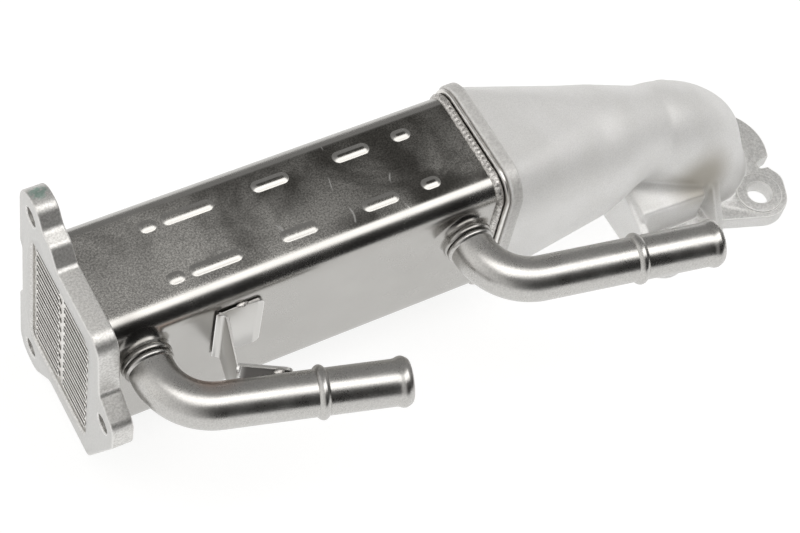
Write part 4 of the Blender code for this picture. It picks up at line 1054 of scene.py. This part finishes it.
def build_casting(finish):
    """Cast outlet: all outer forms melted together, then machined and hollowed."""
    outline = belt([
        FRONT_FAR, FLANGE_SPUR, notch(FLANGE_SPUR, FLANGE_NOSE, NOTCH_RADIUS), FLANGE_NOSE,
        notch(FLANGE_NOSE, BACK_FAR, NOTCH_RADIUS), BACK_FAR, BACK_HOLLOW, BACK_NEAR,
        FRONT_NEAR, FRONT_HOLLOW,
    ])
    core = inset(outline, 1.0)
    middle_x, middle_y = PEDESTAL_MIDDLE
    slab = [(middle_x + a, middle_y + b) for a, b in rounded_rect(*PEDESTAL_SIZE)]
    slot = filleted([
        (347.2, -15.4, 1.0), (358.0, -13.6, 0.5), (366.0, -13.6, 0.5), (366.0, -22.5, 0.5),
        (358.0, -22.5, 0.5), (352.8, -19.8, 1.8), (347.2, -18.9, 1.0)])
    parts = [
        lofted("outlet_body", duct_rings(0.0, CAST_START + 1.5, PLATE_TOP_Z - 2.0)),
        bevelled("lip_core", inset(rounded_rect(*LIP), 0.5), CAST_START + 0.6, LIP_END - 0.4, 0.8, ring_x),
        lofted("plate", [ring_z(core, FACE_Z), ring_z(core, PLATE_TOP_Z - 0.4)]),
        lofted("pedestal", [ring_z(slab, -54.0), ring_z(slab, PEDESTAL_TOP_Z)]),
        lofted("cove", [cove_section(*section) for section in COVE_SECTIONS]),
        lofted("gusset", [ring_x(GUSSET, x) for x in GUSSET_X]),
        lofted("web", [ring_x(WEB, x) for x in WEB_X]),
    ]
    body = joined(parts)
    melt = body.modifiers.new("melt", "REMESH")
    melt.mode = "VOXEL"
    melt.voxel_size = MELT_SIZE * MM
    settle(body)
    soften = body.modifiers.new("soften", "SMOOTH")
    soften.factor = 0.5
    soften.iterations = 6
    settle(body)
    combine(body, bevelled("flange", outline, FACE_Z - 2.0, PLATE_TOP_Z, 0.6, ring_z), "UNION")
    combine(body, bevelled("lip", rounded_rect(*LIP), CAST_START, LIP_END, 0.9, ring_x), "UNION")
    block = ((250.0, -70.0), (370.0, -70.0), (370.0, 70.0), (250.0, 70.0))
    combine(body, lofted("below", [ring_z(block, FACE_Z - 8.0), ring_z(block, FACE_Z)]))
    combine(body, lofted("notch", [ring_z(slot, FACE_Z - 4.0), ring_z(slot, PLATE_TOP_Z + 4.0)]))
    for x, y, _ in OUTLET_EARS:
        pad = bevelled("pad", circle(PAD_RADIUS, 72, (x, y)), PLATE_TOP_Z - 4.0, PAD_TOP_Z, 0.3, ring_z)
        combine(body, pad, "UNION")
    combine(body, lofted("passage", duct_rings(CAST_WALL, CAST_START - 2.0, FACE_Z - 2.0)))
    for x, y, _ in OUTLET_EARS:
        combine(body, countersunk((x, y), OUTLET_BORE / 2, FACE_Z, PAD_TOP_Z, 0.5, ring_z))
    finish_piece(body, finish, ["outlet_casting"], 40.0)


def dress_nodes(finish):
    """Give the nodes that stay as they are the same finish as the pieces beside them."""
    for name in ("outlet_header_plate", "tube_support_1", "tube_support_2"):
        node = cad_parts[name]
        for place in node.material_slots:
            place.material = finish


def build_floor():
    """Pale floor under the part, seen white, that keeps the part's soft shadow."""
    lowest = CAD_BOX[0].z
    data = bpy.data.meshes.new("floor")
    corners = [(FLOOR_HALF * x, FLOOR_HALF * y, lowest) for x, y in ((-1, -1), (1, -1), (1, 1), (-1, 1))]
    data.from_pydata(corners, [], [(0, 1, 2, 3)])
    floor = bpy.data.objects.new("floor", data)
    bpy.context.scene.collection.objects.link(floor)
    paint = bpy.data.materials.new("floor_paper")
    paint.use_nodes = True
    paint.node_tree.nodes.clear()
    look = Nodes(paint.node_tree)
    diffuse = look.node("ShaderNodeBsdfDiffuse")
    diffuse.inputs["Color"].default_value = (0.9, 0.9, 0.9, 1.0)
    glow = look.node("ShaderNodeEmission")
    glow.inputs["Color"].default_value = (1.0, 1.0, 0.995, 1.0)
    glow.inputs["Strength"].default_value = FLOOR_LIGHT
    path = look.node("ShaderNodeLightPath")
    seen = look.math("MAXIMUM", path.outputs["Is Camera Ray"], path.outputs["Is Glossy Ray"])
    share = look.math("MULTIPLY_ADD", seen, 0.54, 0.16)
    surface = look.either(share, diffuse.outputs[0], glow.outputs[0])
    look.feed(look.node("ShaderNodeOutputMaterial").inputs["Surface"], surface)
    data.materials.append(paint)


def build_world():
    """Soft studio: a dim room, darker on the camera's side, a softbox overhead and light on the left."""
    world = bpy.data.worlds.new("studio")
    bpy.context.scene.world = world
    world.use_nodes = True
    world.node_tree.nodes.clear()
    room = Nodes(world.node_tree)
    way = room.node("ShaderNodeTexCoord").outputs["Generated"]

    def along(direction):
        made = room.node("ShaderNodeVectorMath", operation="DOT_PRODUCT")
        room.feed(made.inputs[0], way)
        made.inputs[1].default_value = tuple(direction)
        return made.outputs["Value"]

    aim = Vector((0.2, -0.16, 0.95)).normalized()
    side = Vector((1.0, 0.0, -aim.x / aim.z)).normalized()
    fore = aim.cross(side)
    toward = room.spread(along(aim), 0.0, 0.2)
    wide = room.spread(room.math("ABSOLUTE", along(side)), 0.5, 0.75, 1.0, 0.0)
    deep = room.spread(room.math("ABSOLUTE", along(fore)), 0.18, 0.36, 1.0, 0.0)
    softbox = room.math("MULTIPLY", room.math("MULTIPLY", wide, deep), toward)
    dim = room.spread(along((0.0, -1.0, 0.0)), -0.1, 0.35, 0.3, 0.02)
    left = room.spread(along((-1.0, 0.0, 0.0)), 0.2, 0.9, 0.0, LEFT_LIGHT)
    light = room.math("ADD", room.math("MULTIPLY", softbox, SOFTBOX_LIGHT), dim)
    light = room.math("ADD", light, left)
    backdrop = room.node("ShaderNodeBackground")
    backdrop.inputs["Color"].default_value = (1.0, 0.99, 0.975, 1.0)
    room.feed(backdrop.inputs["Strength"], light)
    white = room.node("ShaderNodeBackground")
    white.inputs["Color"].default_value = (1.0, 1.0, 1.0, 1.0)
    seen = room.node("ShaderNodeLightPath").outputs["Is Camera Ray"]
    surface = room.either(seen, backdrop.outputs[0], white.outputs[0])
    room.feed(room.node("ShaderNodeOutputWorld").inputs["Surface"], surface)


def build_camera():
    """Camera at the photograph's angle."""
    lens = bpy.data.cameras.new("camera")
    lens.sensor_width = 36.0
    lens.lens = 101.0
    lens.clip_start = 0.01
    eye = bpy.data.objects.new("camera", lens)
    bpy.context.scene.collection.objects.link(eye)
    eye.matrix_world = Matrix((
        (0.86995168, 0.33596114, -0.36099056, -0.19342),
        (-0.47422371, 0.77073233, -0.42553912, -0.42079),
        (0.13526249, 0.54138876, 0.82982063, 0.73257),
        (0.0, 0.0, 0.0, 1.0),
    ))
    bpy.context.scene.camera = eye


def main():
    steel = shell_finish()
    tube = tube_finish("tube_steel_look")
    gas_tube = tube_finish("gas_tube_look", TUBE_START + 0.3)
    weld = weld_finish()
    pipe = pipe_finish()
    build_shell(steel)
    build_inlet_flange(flange_finish(), weld)
    build_tubes(gas_tube, tube)
    build_weld(weld)
    build_header_rim(tube)
    build_pipe("inlet_pipe", "coolant_inlet_pipe", *INLET_PIPE, pipe)
    build_pipe("outlet_pipe", "coolant_outlet_pipe", *OUTLET_PIPE, pipe)
    build_bracket(sheet_finish(), weld)
    build_casting(cast_finish())
    dress_nodes(tube)
    build_floor()
    build_world()
    build_camera()
    bpy.context.scene.view_settings.view_transform = "Standard"


main()
